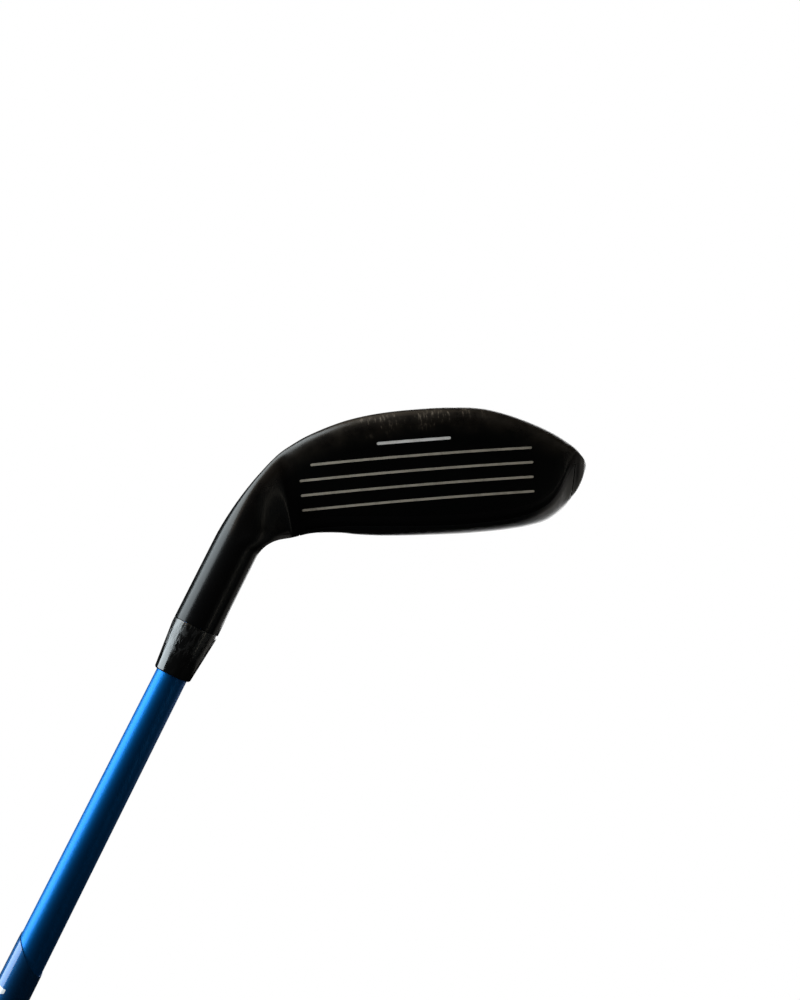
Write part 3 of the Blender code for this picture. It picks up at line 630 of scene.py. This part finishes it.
    def inner(self, i, k, wall):
        k %= self.columns
        row, point = self.rows[i], self.outer[i][k]
        if row["bore"]:
            local = headFrame.inverted() @ point
            at = Vector((local.x, local.y, -local.z))
            distance = at.dot(axisPoint(1))
            bore = club["tip"] + head["boreGap"]
            radial = (at - axisPoint(distance)).normalized() * bore
            return headPoint(axisPoint(max(distance, head["boreEnd"])) + radial)
        thick = wall
        if k >= self.soleFirst:
            thick += (head["soleWall"] - wall) * sin(pi * (k - self.soleFirst) / steps["sole"])
        x = row.get("x", 0) * mm
        if x > head["toeThinFrom"]:
            share = (x - head["toeThinFrom"]) / (head["toeReach"] - head["toeThinFrom"])
            thick *= max(head["toeThinShare"], 1 - share)
        direction = self.normals[i][k]
        besidePlate = self.plateFirst - 2 <= k <= self.plateLast + 2
        if besidePlate and self.marks["heel"] <= i <= self.marks["plateToe"] + 1:
            direction = self.faceNormal
        return point - direction * thick


def shell(skin, name, quads, wall, withTip=False):
    bm = bmesh.new()
    outer, inner, edges = {}, {}, set()
    count = skin.columns

    def corner(i, k):
        key = (i, k % count)
        if key not in outer:
            outer[key] = bm.verts.new(skin.outer[i][key[1]])
            inner[key] = bm.verts.new(skin.inner(i, key[1], wall))
        return key

    faces = [[corner(i, k), corner(i, k + 1), corner(i + 1, k + 1), corner(i + 1, k)] for i, k in quads]
    if withTip:
        last = len(skin.outer) - 1
        outer["tip"] = bm.verts.new(skin.tip)
        inner["tip"] = bm.verts.new(skin.tip - skin.tipNormal * wall * head["toeThinShare"])
        faces += [[corner(last, k), corner(last, k + 1), "tip"] for k in range(count)]
    for keys in faces:
        bm.faces.new([outer[key] for key in keys])
        bm.faces.new([inner[key] for key in reversed(keys)])
        edges |= set(zip(keys, keys[1:] + keys[:1]))
    for a, b in edges:
        if (b, a) not in edges:
            bm.faces.new((outer[b], outer[a], inner[a], inner[b]))
    outward(bm)
    return meshObject(name, bm)


def carve(piece, cutter, operation="DIFFERENCE"):
    modifier = piece.modifiers.new("carve", "BOOLEAN")
    modifier.operation = operation
    modifier.solver = "EXACT"
    modifier.object = cutter
    applied(piece, modifier)
    bpy.data.objects.remove(cutter)


skinTest = {"off": 0.004 * mm, "facing": 0.85, "sharp": 40}


def polish(piece, skin, material):  # true normals on the skin, and the run that the finishes read
    mesh = piece.data
    mesh.materials.clear()
    mesh.materials.append(material)
    found = [skin.look(v.co) for v in mesh.vertices]
    lead = mesh.attributes.new("leadRun", "FLOAT", "POINT")
    lead.data.foreach_set("value", [f[2] for f in found])
    smooth(mesh, skinTest["sharp"])
    natural = [corner.vector.copy() for corner in mesh.corner_normals]
    normals = []
    for polygon in mesh.polygons:
        for loop in polygon.loop_indices:
            _, normal, _, distance = found[mesh.loops[loop].vertex_index]
            onSkin = distance < skinTest["off"] and polygon.normal.dot(normal) > skinTest["facing"]
            normals.append(normal if onSkin else natural[loop])
    mesh.normals_split_custom_set(normals)
    return piece


def finishPiece(piece, node):
    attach(piece, root)
    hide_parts(node)


def headPlace(finish):  # heel-toe, back and height, from the object's coordinates
    sockets = {
        "Vector": finish.place,
        "Location": (0, 0, club["length"]),
        "Rotation": (0, club["lie"] - pi / 2, 0),
        "Scale": (1, 1, -1),
    }
    return finish.add("ShaderNodeMapping", sockets, {"vector_type": "TEXTURE"})


satin = {
    "black": rgb(0.0022, 0.0022, 0.0023),
    # dust on the leading edge, with a painted warm sheen where the rounded edge would reflect the light from
    # above
    "dustAndSheen": rgb(0.055, 0.042, 0.030),
    "bare": rgb(0.19, 0.155, 0.12),
    "roughness": 0.23,
    "grain": 1900,
    "grainDepth": 0.012 * mm,
    # bands round the section from the leading edge, and along x
    "wearRound": (-6 * mm, -1 * mm, 0.5 * mm, 7.5 * mm),
    "wearAlong": (8 * mm, 22 * mm, 46 * mm, 58 * mm),
    "dustAndSheenRound": (-8 * mm, -1 * mm, 1 * mm, 9 * mm),
    "dustAndSheenAlong": (-22 * mm, -8 * mm),
}


def headFinish(name, black, roughness, grain, specular):
    made = Finish(name, specular=specular)
    place = headPlace(made)
    x = made.parts(place)[0]
    lead = made.add("ShaderNodeAttribute", None, {"attribute_name": "leadRun"}, "Fac")
    fine = made.noise(satin["grain"], 2.0, 0.6)
    smudge = made.noise(55, 4.0, 0.55, 0.6)
    # wear on the low edge: streaks across it, and specks higher on the face
    streaks = made.noise(1500, 3.0, 0.65, 0.0, made.stretch((1.0, 0.35, 0.22), place=place))
    patches = made.noise(170, 3.0, 0.6, 0.0, place)
    scuff = made.rise(streaks * 0.7 + patches * 0.45, 0.62, 0.74)
    scuff = scuff * made.band(lead, *satin["wearRound"]) * made.band(x, *satin["wearAlong"])
    # dust in patches along the leading edge, and with it a painted warm sheen of that rounded edge catching
    # the light from above
    dustAndSheen = made.rise(patches, 0.15, 0.7) * made.band(lead, *satin["dustAndSheenRound"])
    dustAndSheen = dustAndSheen * made.rise(x, *satin["dustAndSheenAlong"])
    colour = made.blend(dustAndSheen * 0.24, black, satin["dustAndSheen"])
    colour = made.blend(scuff * 0.55, colour, satin["bare"])
    rough = roughness + (smudge - 0.5) * 0.16 + scuff * 0.18 + dustAndSheen * 0.14 + (fine - 0.5) * 0.08
    relief = made.bump(fine, grain, 0.8)
    relief = made.bump(scuff * streaks, 0.03 * mm, 0.6, relief)
    return made.feed(colour=colour, roughness=rough, normal=relief)


bodyBlack = headFinish("satinBlackCasting", satin["black"], satin["roughness"], satin["grainDepth"], 0.32)
faceBlack = headFinish("blackFace", rgb(0.0015, 0.0015, 0.0015), 0.30, 0.010 * mm, 0.25)
crownBlack = headFinish("crownBlack", rgb(0.007, 0.0075, 0.008), 0.30, 0.008 * mm, 0.5)


# Scorelines: each cutter and each fill follows the face.
score = {
    "lowest": 11.8 * mm,
    "pitch": 4.55 * mm,
    "width": 1.0 * mm,
    "depth": 0.6 * mm,
    "fill": 0.3 * mm,
    "side": 0.12 * mm,
    "sink": 0.07 * mm,
    "aimSide": 0.02 * mm,
    "draft": 0.86,
    "narrowest": 0.12,
    "roundSteps": 5,
    "step": 1.6 * mm,
    "aim": (21.4 * mm, 43.8 * mm),
    "long": ((1.0 * mm, 68.9 * mm), (-2.6 * mm, 69.2 * mm), (-2.6 * mm, 69.1 * mm), (-2.6 * mm, 69.2 * mm)),
}


def faceBar(skin, name, ends, height, half, top, bottom):  # it narrows to a round at both ends
    spots = []
    for i in range(score["roundSteps"]):
        angle = pi / 2 * i / score["roundSteps"]
        spots.append((ends[0] + half * (1 - cos(angle)), sin(angle)))
    count = round((ends[1] - ends[0]) / score["step"])
    inside = (ends[0] + half, ends[1] - half)
    body = [(inside[0] + (inside[1] - inside[0]) * i / count, 1.0) for i in range(count + 1)]
    spots = spots + body + [(ends[0] + ends[1] - x, share) for x, share in reversed(spots)]
    across = headFrame.to_3x3() @ Vector((0, sin(club["loft"]), -cos(club["loft"])))
    inward = (headFrame.to_3x3() @ Vector((0, 1, 0))).normalized()
    bm = bmesh.new()
    rows = []
    for x, share in spots:
        at, _, _, _ = skin.tree.ray_cast(headPoint((x, -head["depth"], height)), inward)
        wide = half * max(share, score["narrowest"])
        offsets = ((-1, top), (1, top), (score["draft"], bottom), (-score["draft"], bottom))
        rows.append([bm.verts.new(at + across * wide * s - skin.faceNormal * d) for s, d in offsets])
    bridge(bm, rows)
    bm.faces.new(rows[0])
    bm.faces.new(reversed(rows[-1]))
    outward(bm)
    return meshObject(name, bm)


def linePaint(name, light, dark, amount):
    made = Finish(name, specular=0.4)
    run = made.noise(260, 4.0, 0.6)
    speck = made.noise(2600, 3.0, 0.6)
    worn = made.rise(run * 0.6 + speck * 0.4, 0.42, 0.66)
    colour = made.blend(worn * amount, light, dark)
    relief = made.bump(speck, 0.03 * mm, 0.7)
    return made.feed(colour=colour, roughness=0.5 + speck * 0.2, normal=relief)


greyPaint = linePaint("beigePaintFill", rgb(0.42, 0.385, 0.32), rgb(0.26, 0.24, 0.20), 0.9)
whitePaint = linePaint("whitePaintFill", rgb(0.88, 0.87, 0.85), rgb(0.66, 0.64, 0.61), 0.8)


def buildHead():
    skin = HeadSkin()
    heel, plateToe, crownToe = (skin.marks[name] for name in ("heel", "plateToe", "crownToe"))
    body, plate, crown = [], [], []
    for i in range(len(skin.outer) - 1):
        for k in range(skin.columns):
            if heel <= i < plateToe and skin.plateFirst <= k < skin.plateLast:
                plate.append((i, k))
            elif heel <= i < crownToe and skin.crownFirst <= k < skin.crownLast:
                crown.append((i, k))
            else:
                body.append((i, k))
    cast = shell(skin, "cast_head", body, head["wall"], withTip=True)
    face = shell(skin, "striking_face", plate, head["plateThick"])
    cover = shell(skin, "crown_cover", crown, head["crownWall"])
    print("head shells done")

    lines = [("aim_line", score["aim"], whitePaint, "aim_line_paint", "line_white")]
    for i, ends in enumerate(score["long"]):
        lines.append((f"score_line_{i + 1}", ends, greyPaint, f"scoreline_paint_{i + 1}", "line_grey"))
    for i, (name, ends, paint, node, slot) in enumerate(lines):
        height = score["lowest"] + i * score["pitch"] * cos(club["loft"])
        half = score["width"] / 2
        carve(face, faceBar(skin, name + "_cutter", ends, height, half, -score["depth"], score["depth"]))
        side = score["aimSide"] if i == 0 else score["side"]
        sink = score["sink"]
        inside = (ends[0] + side, ends[1] - side)
        fill = faceBar(skin, name, inside, height, half - side, sink, sink + score["fill"])
        fill.data.materials.append(paint)
        smooth(fill.data, 35)
        finishPiece(fill, node)
    print("scorelines cut and filled")

    screwHole(skin, cast)
    finishPiece(polish(cast, skin, bodyBlack), "head_body")
    finishPiece(polish(face, skin, faceBlack), "face_plate")
    finishPiece(polish(cover, skin, crownBlack), "crown_shell")


weight = {
    "head": 6.0 * mm,
    "headDepth": 2.4 * mm,
    "shank": 3.0 * mm,
    "shankLength": 5.0 * mm,
    "gap": 0.2 * mm,
    "sink": 0.5 * mm,
    "chamfer": 0.45 * mm,
    "socket": 2.3 * mm,
    "socketDepth": 1.6 * mm,
    "bossWall": 1.8 * mm,
    "bossFloor": 1.0 * mm,
    "bossRise": 1.2 * mm,
    "mouthFlare": 3.4 * mm,
    "above": 3 * mm,
    "edge": 0.35 * mm,
    "threads": 7,
    "pitch": 0.6 * mm,
    "threadDeep": 0.25 * mm,
    "tipEdge": 0.3 * mm,
    "socketFlare": 0.25 * mm,
    "socketPoint": 0.5 * mm,
    "sides": 64,
}


def turnedMesh(name, profile, sides, place):
    bm = bmesh.new()
    verts = [bm.verts.new((r, 0, z)) for r, z in profile]
    edges = [bm.edges.new((a, b)) for a, b in zip(verts, verts[1:] + verts[:1])]
    bmesh.ops.spin(bm, geom=verts + edges, cent=(0, 0, 0), axis=(0, 0, 1), angle=2 * pi, steps=sides)
    bmesh.ops.remove_doubles(bm, verts=bm.verts, dist=1e-6)
    bmesh.ops.dissolve_degenerate(bm, edges=bm.edges, dist=1e-7)
    outward(bm)
    bm.transform(place)
    return meshObject(name, bm)


def screwHole(skin, cast):
    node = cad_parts["weight_screw"].data
    centre = sum((v.co for v in node.vertices), Vector()) / len(node.vertices)
    at, normal, _, _ = skin.look(centre)
    turn = Vector((0, 0, 1)).rotation_difference(normal).to_matrix().to_4x4()
    place = Matrix.Translation(at) @ turn
    w = weight
    under = w["sink"] + w["headDepth"]
    tip = under + w["shankLength"]
    deep = tip + w["gap"] + w["bossFloor"]
    wide = w["head"] + w["gap"] + w["bossWall"]
    boss = [(0, -w["bossRise"]), (wide, -w["bossRise"]), (wide, -deep), (0, -deep)]
    carve(cast, turnedMesh("boss", boss, w["sides"], place), "UNION")
    mouth, bore = w["head"] + w["gap"], w["shank"] + w["gap"]
    hole = [(0, w["above"]), (mouth + w["mouthFlare"], w["above"]), (mouth, -w["chamfer"])]
    hole += [(mouth, -under - w["gap"]), (bore, -under - w["gap"])]
    hole += [(bore, -tip - w["gap"]), (0, -tip - w["gap"])]
    carve(cast, turnedMesh("hole", hole, w["sides"], place))

    edge, top = w["edge"], -w["sink"]
    screw = [(0, top), (w["head"] - 3 * edge, top), (w["head"] - edge, top - 0.25 * edge)]
    screw += [(w["head"], top - edge), (w["head"], -under), (w["shank"], -under)]
    for i in range(w["threads"]):
        z = -under - (i + 1) * w["pitch"]
        screw += [(w["shank"], z), (w["shank"] - w["threadDeep"], z - w["pitch"] / 2)]
    screw += [(w["shank"], w["tipEdge"] - tip), (w["shank"] - w["tipEdge"], -tip), (0, -tip)]
    piece = turnedMesh("sole_weight_screw", screw, w["sides"], place)
    floor, flare = top - w["socketDepth"], w["socketFlare"]
    socket = [(0, 0.8 * flare), (w["socket"] + 2.8 * flare, 0.8 * flare), (w["socket"], top - flare)]
    socket += [(w["socket"], floor), (0, floor - w["socketPoint"])]
    carve(piece, turnedMesh("socket", socket, 6, place))
    smooth(piece.data, 30)
    metal = Finish("weightSteel", metallic=1.0)
    ringed = metal.noise(3200, 2.0)
    stain = metal.noise(260, 4.0, 0.6)
    tone = metal.blend(metal.rise(stain, 0.4, 0.75), rgb(0.30, 0.29, 0.275), rgb(0.13, 0.12, 0.11))
    piece.data.materials.clear()
    rough, relief = 0.30 + stain * 0.22, metal.bump(ringed, 0.01 * mm, 0.7)
    piece.data.materials.append(metal.feed(colour=tone, roughness=rough, normal=relief))
    finishPiece(piece, "weight_screw")


buildHead()
print("head done")


# Turned pieces: each comes from a Geometry Nodes tree with its sizes as inputs.
def openTree(name, sizes):
    tree = bpy.data.node_groups.new(name, "GeometryNodeTree")
    kit = NodeKit(tree)
    tree.interface.new_socket("Geometry", in_out="OUTPUT", socket_type="NodeSocketGeometry")
    kit.sizes, kit.inputs = sizes, {}
    for label, value in sizes.items():
        kind = "NodeSocketInt" if isinstance(value, int) else "NodeSocketFloat"
        kit.inputs[label] = tree.interface.new_socket(label, in_out="INPUT", socket_type=kind)
    source = tree.nodes.new("NodeGroupInput")
    return kit, {label: Value(kit, source.outputs[label]) for label in sizes}


def arc(middle, height, radius, start, end, count):  # start and end in degrees
    angles = [radians(start + (end - start) * i / count) for i in range(count + 1)]
    return [(middle + radius * cos(a), height + radius * sin(a)) for a in angles]


def gridOf(kit, columns, rows):  # a grid, with the column and row of each of its points
    grid = kit.add("GeometryNodeMeshGrid", {"Vertices X": columns, "Vertices Y": rows})
    index = kit.add("GeometryNodeInputIndex")
    column = kit.maths("FLOOR", (index + 0.5) / rows)
    return grid, column, index - column * rows


def turnedSurface(kit, size, rows):  # rows are radius, height and share of the slant
    rows = [*rows, rows[0]]
    count = len(rows)
    grid, column, row = gridOf(kit, size["Sides"] + 1, count)
    row = kit.add("FunctionNodeFloatToInt", {0: row}, {"rounding_mode": "ROUND"})
    angle = column * (2 * pi) / size["Sides"]
    picked = []
    for part in range(3):
        sockets = {"Index": row}
        for i, values in enumerate(rows):
            sockets[i + 1] = values[part] if part < len(values) else 0.0
        picked.append(kit.add("GeometryNodeIndexSwitch", sockets, {"data_type": "FLOAT", "items": count}))
    radius, height, slant = picked
    turn = kit.maths("COSINE", angle)
    place = kit.join(radius * turn, radius * kit.maths("SINE", angle), height - slant * turn)
    moved = kit.add("GeometryNodeSetPosition", {"Geometry": grid, "Position": place})
    return kit.add("GeometryNodeMergeByDistance", {"Geometry": moved, "Distance": 1e-7})


def closeTree(kit, geometry, name, material, node, sharp=35):
    geometry = kit.add("GeometryNodeRealizeInstances", {"Geometry": geometry})
    geometry = kit.add("GeometryNodeSetMaterial", {"Geometry": geometry, "Material": material})
    end = kit.tree.nodes.new("NodeGroupOutput")
    kit.tree.links.new(geometry.socket, end.inputs[0])
    piece = newObject(name, bpy.data.meshes.new(name))
    modifier = piece.modifiers.new("shape", "NODES")
    modifier.node_group = kit.tree
    for label, value in kit.sizes.items():
        modifier[kit.inputs[label].identifier] = value
    mesh = applied(piece, modifier)
    bm = bmesh.new()
    bm.from_mesh(mesh)
    outward(bm)
    bm.to_mesh(mesh)
    bm.free()
    smooth(mesh, sharp)
    finishPiece(piece, node)


shaftSizes = {
    "Sides": 96,
    "Butt radius": club["butt"],
    "Tip radius": club["tip"],
    "Butt height": 4.6 * mm,
    "Tip height": hoselEnd + 28 * mm,
    "Straight tip": 50 * mm,
    "Butt wall": 1.1 * mm,
    "Tip wall": 1.9 * mm,
}


def blueFinish():
    made = Finish("pearlBlueShaft", metallic=0.88, specular=0.15, coat=0.12, coatRoughness=0.2)
    flake = made.noise(5200, 2.0, 0.7)
    cloud = made.noise(260, place=made.stretch((1, 1, 0.12)))
    colour = made.blend(flake, rgb(0.0015, 0.10, 0.35), rgb(0.003, 0.15, 0.48))
    colour = made.blend(cloud * 0.25, colour, rgb(0.002, 0.11, 0.36))
    rough = 0.46 + (cloud - 0.5) * 0.10 + (flake - 0.5) * 0.10
    return made.feed(colour=colour, roughness=rough, normal=made.bump(flake, 0.006 * mm, 0.6))


def buildShaft():
    kit, size = openTree("shaftTube", shaftSizes)
    tip, butt = size["Tip height"], size["Butt height"]
    rows = [
        (size["Tip radius"] - size["Tip wall"], tip),
        (size["Tip radius"], tip),
        (size["Tip radius"], tip - size["Straight tip"]),
        (size["Butt radius"], butt),
        (size["Butt radius"] - size["Butt wall"], butt),
    ]
    closeTree(kit, turnedSurface(kit, size, rows), "shaft_tube", blueFinish(), "shaft")


def shaftRadius(z):
    straight = shaftSizes["Tip height"] - shaftSizes["Straight tip"]
    share = (z - shaftSizes["Butt height"]) / (straight - shaftSizes["Butt height"])
    return club["butt"] + (club["tip"] - club["butt"]) * min(1, max(0, share))


ferruleSizes = {
    "Sides": 96,
    "Top": hoselEnd - club["fit"],
    "Length": 15.3 * mm,
    "Radius": club["hosel"],
    "End radius": 5.6 * mm,
    "Straight": 1.5 * mm,
    "Lip": 0.7 * mm,
    "Edge": 0.09 * mm,
    "Bore": club["tip"] + club["fit"],
}
ferruleLip = (-8, -90, 6)  # it turns in to the shaft: from and to in degrees, and steps


def ferruleFinish():
    made = Finish("glossBlackFerrule", specular=0.6, coat=0.5, coatRoughness=0.04)
    _, _, height = made.parts(made.place)
    top = ferruleSizes["Top"]
    worn = made.rise(height, top - 12 * mm, top - 7 * mm)
    streak = made.noise(900, 4.0, 0.6, 0.8, made.stretch((1, 1, 0.4), (0.5, 0.3, 0)))
    fine = made.noise(3000, 3.0, 0.6)
    scuff = made.rise(streak, 0.46, 0.60) * (0.25 + worn * 0.75)
    rough = 0.06 + scuff * 0.30 + fine * 0.05
    colour = made.blend(scuff * 0.25, rgb(0.004, 0.004, 0.004), rgb(0.03, 0.03, 0.03))
    relief = made.bump(streak * (0.15 + worn * 0.85), 0.3 * mm, 0.45)
    return made.feed(colour=colour, roughness=rough, normal=made.bump(fine, 0.01 * mm, 0.3, relief))


def buildFerrule():
    kit, size = openTree("ferruleRing", ferruleSizes)
    top, lip, radius, edge = size["Top"], size["Lip"], size["Radius"], size["Edge"]
    low = top - size["Length"]
    rows = [(size["Bore"], top), (radius - edge, top), (radius - edge / 3, top - edge / 3)]
    rows += [(radius, top - edge), (radius, top - size["Straight"])]
    rows += [*arc(size["End radius"] - lip, low + lip, lip, *ferruleLip), (size["Bore"], low)]
    ring = turnedSurface(kit, size, rows)
    closeTree(kit, ring, "black_ferrule", ferruleFinish(), "ferrule", 50)


# The film near the head, with a plain graphic.
labelSizes = {
    "Sides": 96,
    "Top": hoselEnd - club["fit"] - ferruleSizes["Length"] - 84 * mm,
    "Length": 190 * mm,
    "Slant": 4 * mm,
    "Gap": 0.1 * mm,
    "Thickness": 0.12 * mm,
    "Low radius": 0.0,
    "High radius": 0.0,
}
labelSizes["Low radius"] = shaftRadius(labelSizes["Top"] - labelSizes["Length"])
labelSizes["High radius"] = shaftRadius(labelSizes["Top"])


graphic = {  # heights count down from the film's top
    "lean": 3 * mm,
    "pitch": 3 * mm,
    "bar": (1.2 * mm, 1.3 * mm),
    "bars": (9 * mm, 9.2 * mm, 61.8 * mm, 62 * mm),
    "side": 2.4,
    "window": (0.62, 0.60),
    "rings": (
        (149 * mm, 149.1 * mm, 150.9 * mm, 151 * mm),
        (153.6 * mm, 153.7 * mm, 154.3 * mm, 154.4 * mm),
    ),
}


def labelFinish():
    made = Finish("navyFilm", coat=1.0, coatRoughness=0.03)
    x, y, height = made.parts(made.place)
    angle = made.maths("ARCTAN2", y, x)
    down = labelSizes["Top"] - height
    bar = made.maths("PINGPONG", down + angle * graphic["lean"], graphic["pitch"])
    white = made.rise(bar, *graphic["bar"]) * made.band(down, *graphic["bars"])
    beside = made.maths("ABSOLUTE", angle + graphic["side"])
    white = white * made.rise(beside, *graphic["window"])
    for ring in graphic["rings"]:
        white = made.maths("MAXIMUM", white, made.band(down, *ring))
    fleck = made.noise(3000)
    navy = made.blend(fleck, rgb(0.002, 0.06, 0.19), rgb(0.003, 0.085, 0.26))
    colour = made.blend(white, navy, rgb(0.62, 0.64, 0.66))
    rough = 0.46 - white * 0.1 + fleck * 0.06
    return made.feed(colour=colour, roughness=rough, metallic=0.85 - white * 0.85)


def buildLabel():
    kit, size = openTree("labelFilm", labelSizes)
    top = size["Top"]
    low = top - size["Length"]
    under = [size[end] + size["Gap"] for end in ("Low radius", "High radius")]
    over = [radius + size["Thickness"] for radius in under]
    slant = size["Slant"]
    rows = [(under[1], top, slant), (over[1], top, slant), (over[0], low), (under[0], low)]
    film = turnedSurface(kit, size, rows)
    closeTree(kit, film, "navy_label_film", labelFinish(), "shaft_label")


buildShaft()
buildFerrule()
buildLabel()
print("shaft, ferrule and film done")


gripSizes = {
    "Sides": 96,
    "Cap": 4.5 * mm,
    "Fit": club["fit"],
    "Length": 268 * mm,
    "Butt radius": 13.4 * mm,
    "Mouth radius": 8.7 * mm,
    "Flare": 1.9 * mm,
    "Flare length": 16 * mm,
    "Lip": 1.2 * mm,
    "Low bore": 0.0,
    "High bore": 0.0,
    "Pip rows": 62,
    "Pip columns": 26,
    "Pip size": 1.15 * mm,
    "Pip height": 0.22 * mm,
    "Pip start": 34 * mm,
    "Pip run": 198 * mm,
    "Pip sink": 0.06 * mm,
    "Groove": 0.45 * mm,
}
gripGrooves = (24, 27, 30, 236, 240, 244, 248)  # each ring groove, in millimetres from the butt
gripPlain = (20, 60, 100, 140, 180, 215, 256)  # rows between them
gripLow = gripSizes["Cap"] + club["fit"]
gripSizes["Low bore"] = shaftRadius(gripLow) + 0.4 * mm
gripSizes["High bore"] = shaftRadius(gripSizes["Length"]) + 0.4 * mm


def rubberFinish(name):
    made = Finish(name, specular=0.35, sheen=0.08, sheenRoughness=0.5)
    fine = made.noise(2400, 3.0, 0.65)
    wear = made.noise(60, 4.0, 0.6, 0.0, made.stretch((1, 1, 0.4)))
    dusty = made.rise(wear, 0.48, 0.78)
    colour = made.blend(dusty * 0.5, rgb(0.008, 0.008, 0.009), rgb(0.030, 0.029, 0.028))
    rough = 0.62 + dusty * 0.16 + (fine - 0.5) * 0.1
    return made.feed(colour=colour, roughness=rough, normal=made.bump(fine, 0.035 * mm, 0.7))


def gripRadius(kit, size, z):
    share = (z - size["Cap"]) / (size["Length"] - size["Cap"])
    flare = kit.maths("MAXIMUM", 1 - (z - size["Cap"]) / size["Flare length"], 0.0)
    taper = (size["Mouth radius"] - size["Butt radius"]) * share
    return size["Butt radius"] + taper + size["Flare"] * flare * flare


def buildGrip():
    kit, size = openTree("gripRubber", gripSizes)
    low = size["Cap"] + size["Fit"]
    high = size["Length"]
    rows = [(size["Low bore"], low)]
    flareSteps = 12
    for i in range(flareSteps):
        z = low + size["Flare length"] * i / flareSteps
        rows.append((gripRadius(kit, size, z), z))
    places = [(place, 0.0) for place in gripPlain]
    for groove in gripGrooves:
        places += [(groove - 0.6, 0.0), (groove - 0.25, size["Groove"])]
        places += [(groove + 0.25, size["Groove"]), (groove + 0.6, 0.0)]
    for place, deep in sorted(places, key=lambda row: row[0]):
        rows.append((gripRadius(kit, size, place * mm) - deep, place * mm))
    lip = size["Lip"]
    rows += arc(gripRadius(kit, size, high) - lip, high - lip, lip, 0, 90, 5)
    rows.append((size["High bore"], high))
    base = turnedSurface(kit, size, rows)

    # diamond pips in staggered rows, standing out from the rubber
    count = size["Pip rows"]
    grid, column, row = gridOf(kit, size["Pip columns"], count)
    row = kit.maths("ROUND", row)
    odd = kit.maths("MODULO", row, 2.0)
    angle = (column + odd * 0.5) * (2 * pi) / size["Pip columns"]
    z = size["Pip start"] + row * size["Pip run"] / (count - 1)
    radius = gripRadius(kit, size, z) - size["Pip sink"]
    spot = kit.join(radius * kit.maths("COSINE", angle), radius * kit.maths("SINE", angle), z)
    points = kit.add("GeometryNodeSetPosition", {"Geometry": grid, "Position": spot})
    pipSockets = {"Vertices": 4, "Radius Bottom": size["Pip size"], "Radius Top": size["Pip size"] * 0.55}
    pipSockets["Depth"] = size["Pip height"] + size["Pip sink"]
    pip = kit.add("GeometryNodeMeshCone", pipSockets)
    tilt = kit.add("FunctionNodeEulerToRotation", {0: kit.join(0.0, pi / 2, angle)})
    spread = {"Points": points, "Instance": pip, "Rotation": tilt, "Scale": kit.join(1.35, 0.8, 1.0)}
    pips = kit.add("GeometryNodeInstanceOnPoints", spread)
    joined = kit.add("GeometryNodeJoinGeometry", {"Geometry": base})
    kit.tree.links.new(pips.socket, joined.socket.node.inputs[0])
    closeTree(kit, joined, "rubber_grip", rubberFinish("gripRubber"), "grip", 28)


capSizes = {
    "Sides": 96,
    "Radius": 15.3 * mm,
    "Thickness": 4.5 * mm,
    "Round": 2.4 * mm,
    "Vent": 1.2 * mm,
    "Vent edge": 0.35 * mm,
    "Ring": 8.2 * mm,
    "Ring depth": 0.3 * mm,
}


def buildCap():
    kit, size = openTree("gripCap", capSizes)
    rows = [(size["Vent"], size["Vent edge"]), (size["Vent"] + size["Vent edge"], 0.0)]
    for offset, deep in ((-0.5, 0.0), (-0.3, 1.0), (0.3, 1.0), (0.5, 0.0)):  # a moulded ring round the vent
        rows.append((size["Ring"] + offset * mm, size["Ring depth"] * deep))
    turn = size["Round"]
    rows += arc(size["Radius"] - turn, turn, turn, -90, 0, 8)
    rows += [(size["Radius"], size["Thickness"]), (size["Vent"], size["Thickness"])]
    cap = turnedSurface(kit, size, rows)
    closeTree(kit, cap, "grip_end_cap", rubberFinish("capRubber"), "grip_cap", 30)


buildGrip()
buildCap()
print("grip and cap done")


# Pieces inside the club keep their shape and get their own finish.
# node: finish, light and dark colour, roughness, grain, relief, other constants
insides = {
    "hot_melt_dab": ("hotMelt", (0.75, 0.66, 0.45), (0.6, 0.5, 0.3), 0.3, 220, 0.1 * mm, {"scatter": 0.3}),
    "epoxy_sleeve": ("epoxyGlue", (0.5, 0.42, 0.25), (0.36, 0.3, 0.18), 0.2, 300, 0.02 * mm, {}),
    "bore_plug": ("plugPlastic", (0.8, 0.8, 0.76), (0.7, 0.7, 0.66), 0.4, 400, 0.02 * mm, {}),
    "tip_weight": ("brassPin", (0.62, 0.46, 0.2), (0.45, 0.31, 0.13), 0.28, 500, 0.01 * mm, {"metallic": 1}),
    "grip_tape": ("paperTape", (0.74, 0.70, 0.58), (0.66, 0.61, 0.5), 0.7, 900, 0.03 * mm, {}),
}


def insideFinish(name, light, dark, roughness, scale, depth, constants):
    made = Finish(name, **constants)
    cloud = made.noise(scale, 4.0, 0.6)
    fine = made.noise(scale * 9, 3.0, 0.6)
    colour = made.blend(made.rise(cloud, 0.3, 0.7), rgb(*light), rgb(*dark))
    return made.feed(colour=colour, roughness=roughness + fine * 0.15, normal=made.bump(fine, depth, 0.7))


for node, values in insides.items():
    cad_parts[node].material_slots[0].material = insideFinish(*values)
print("inside pieces done")
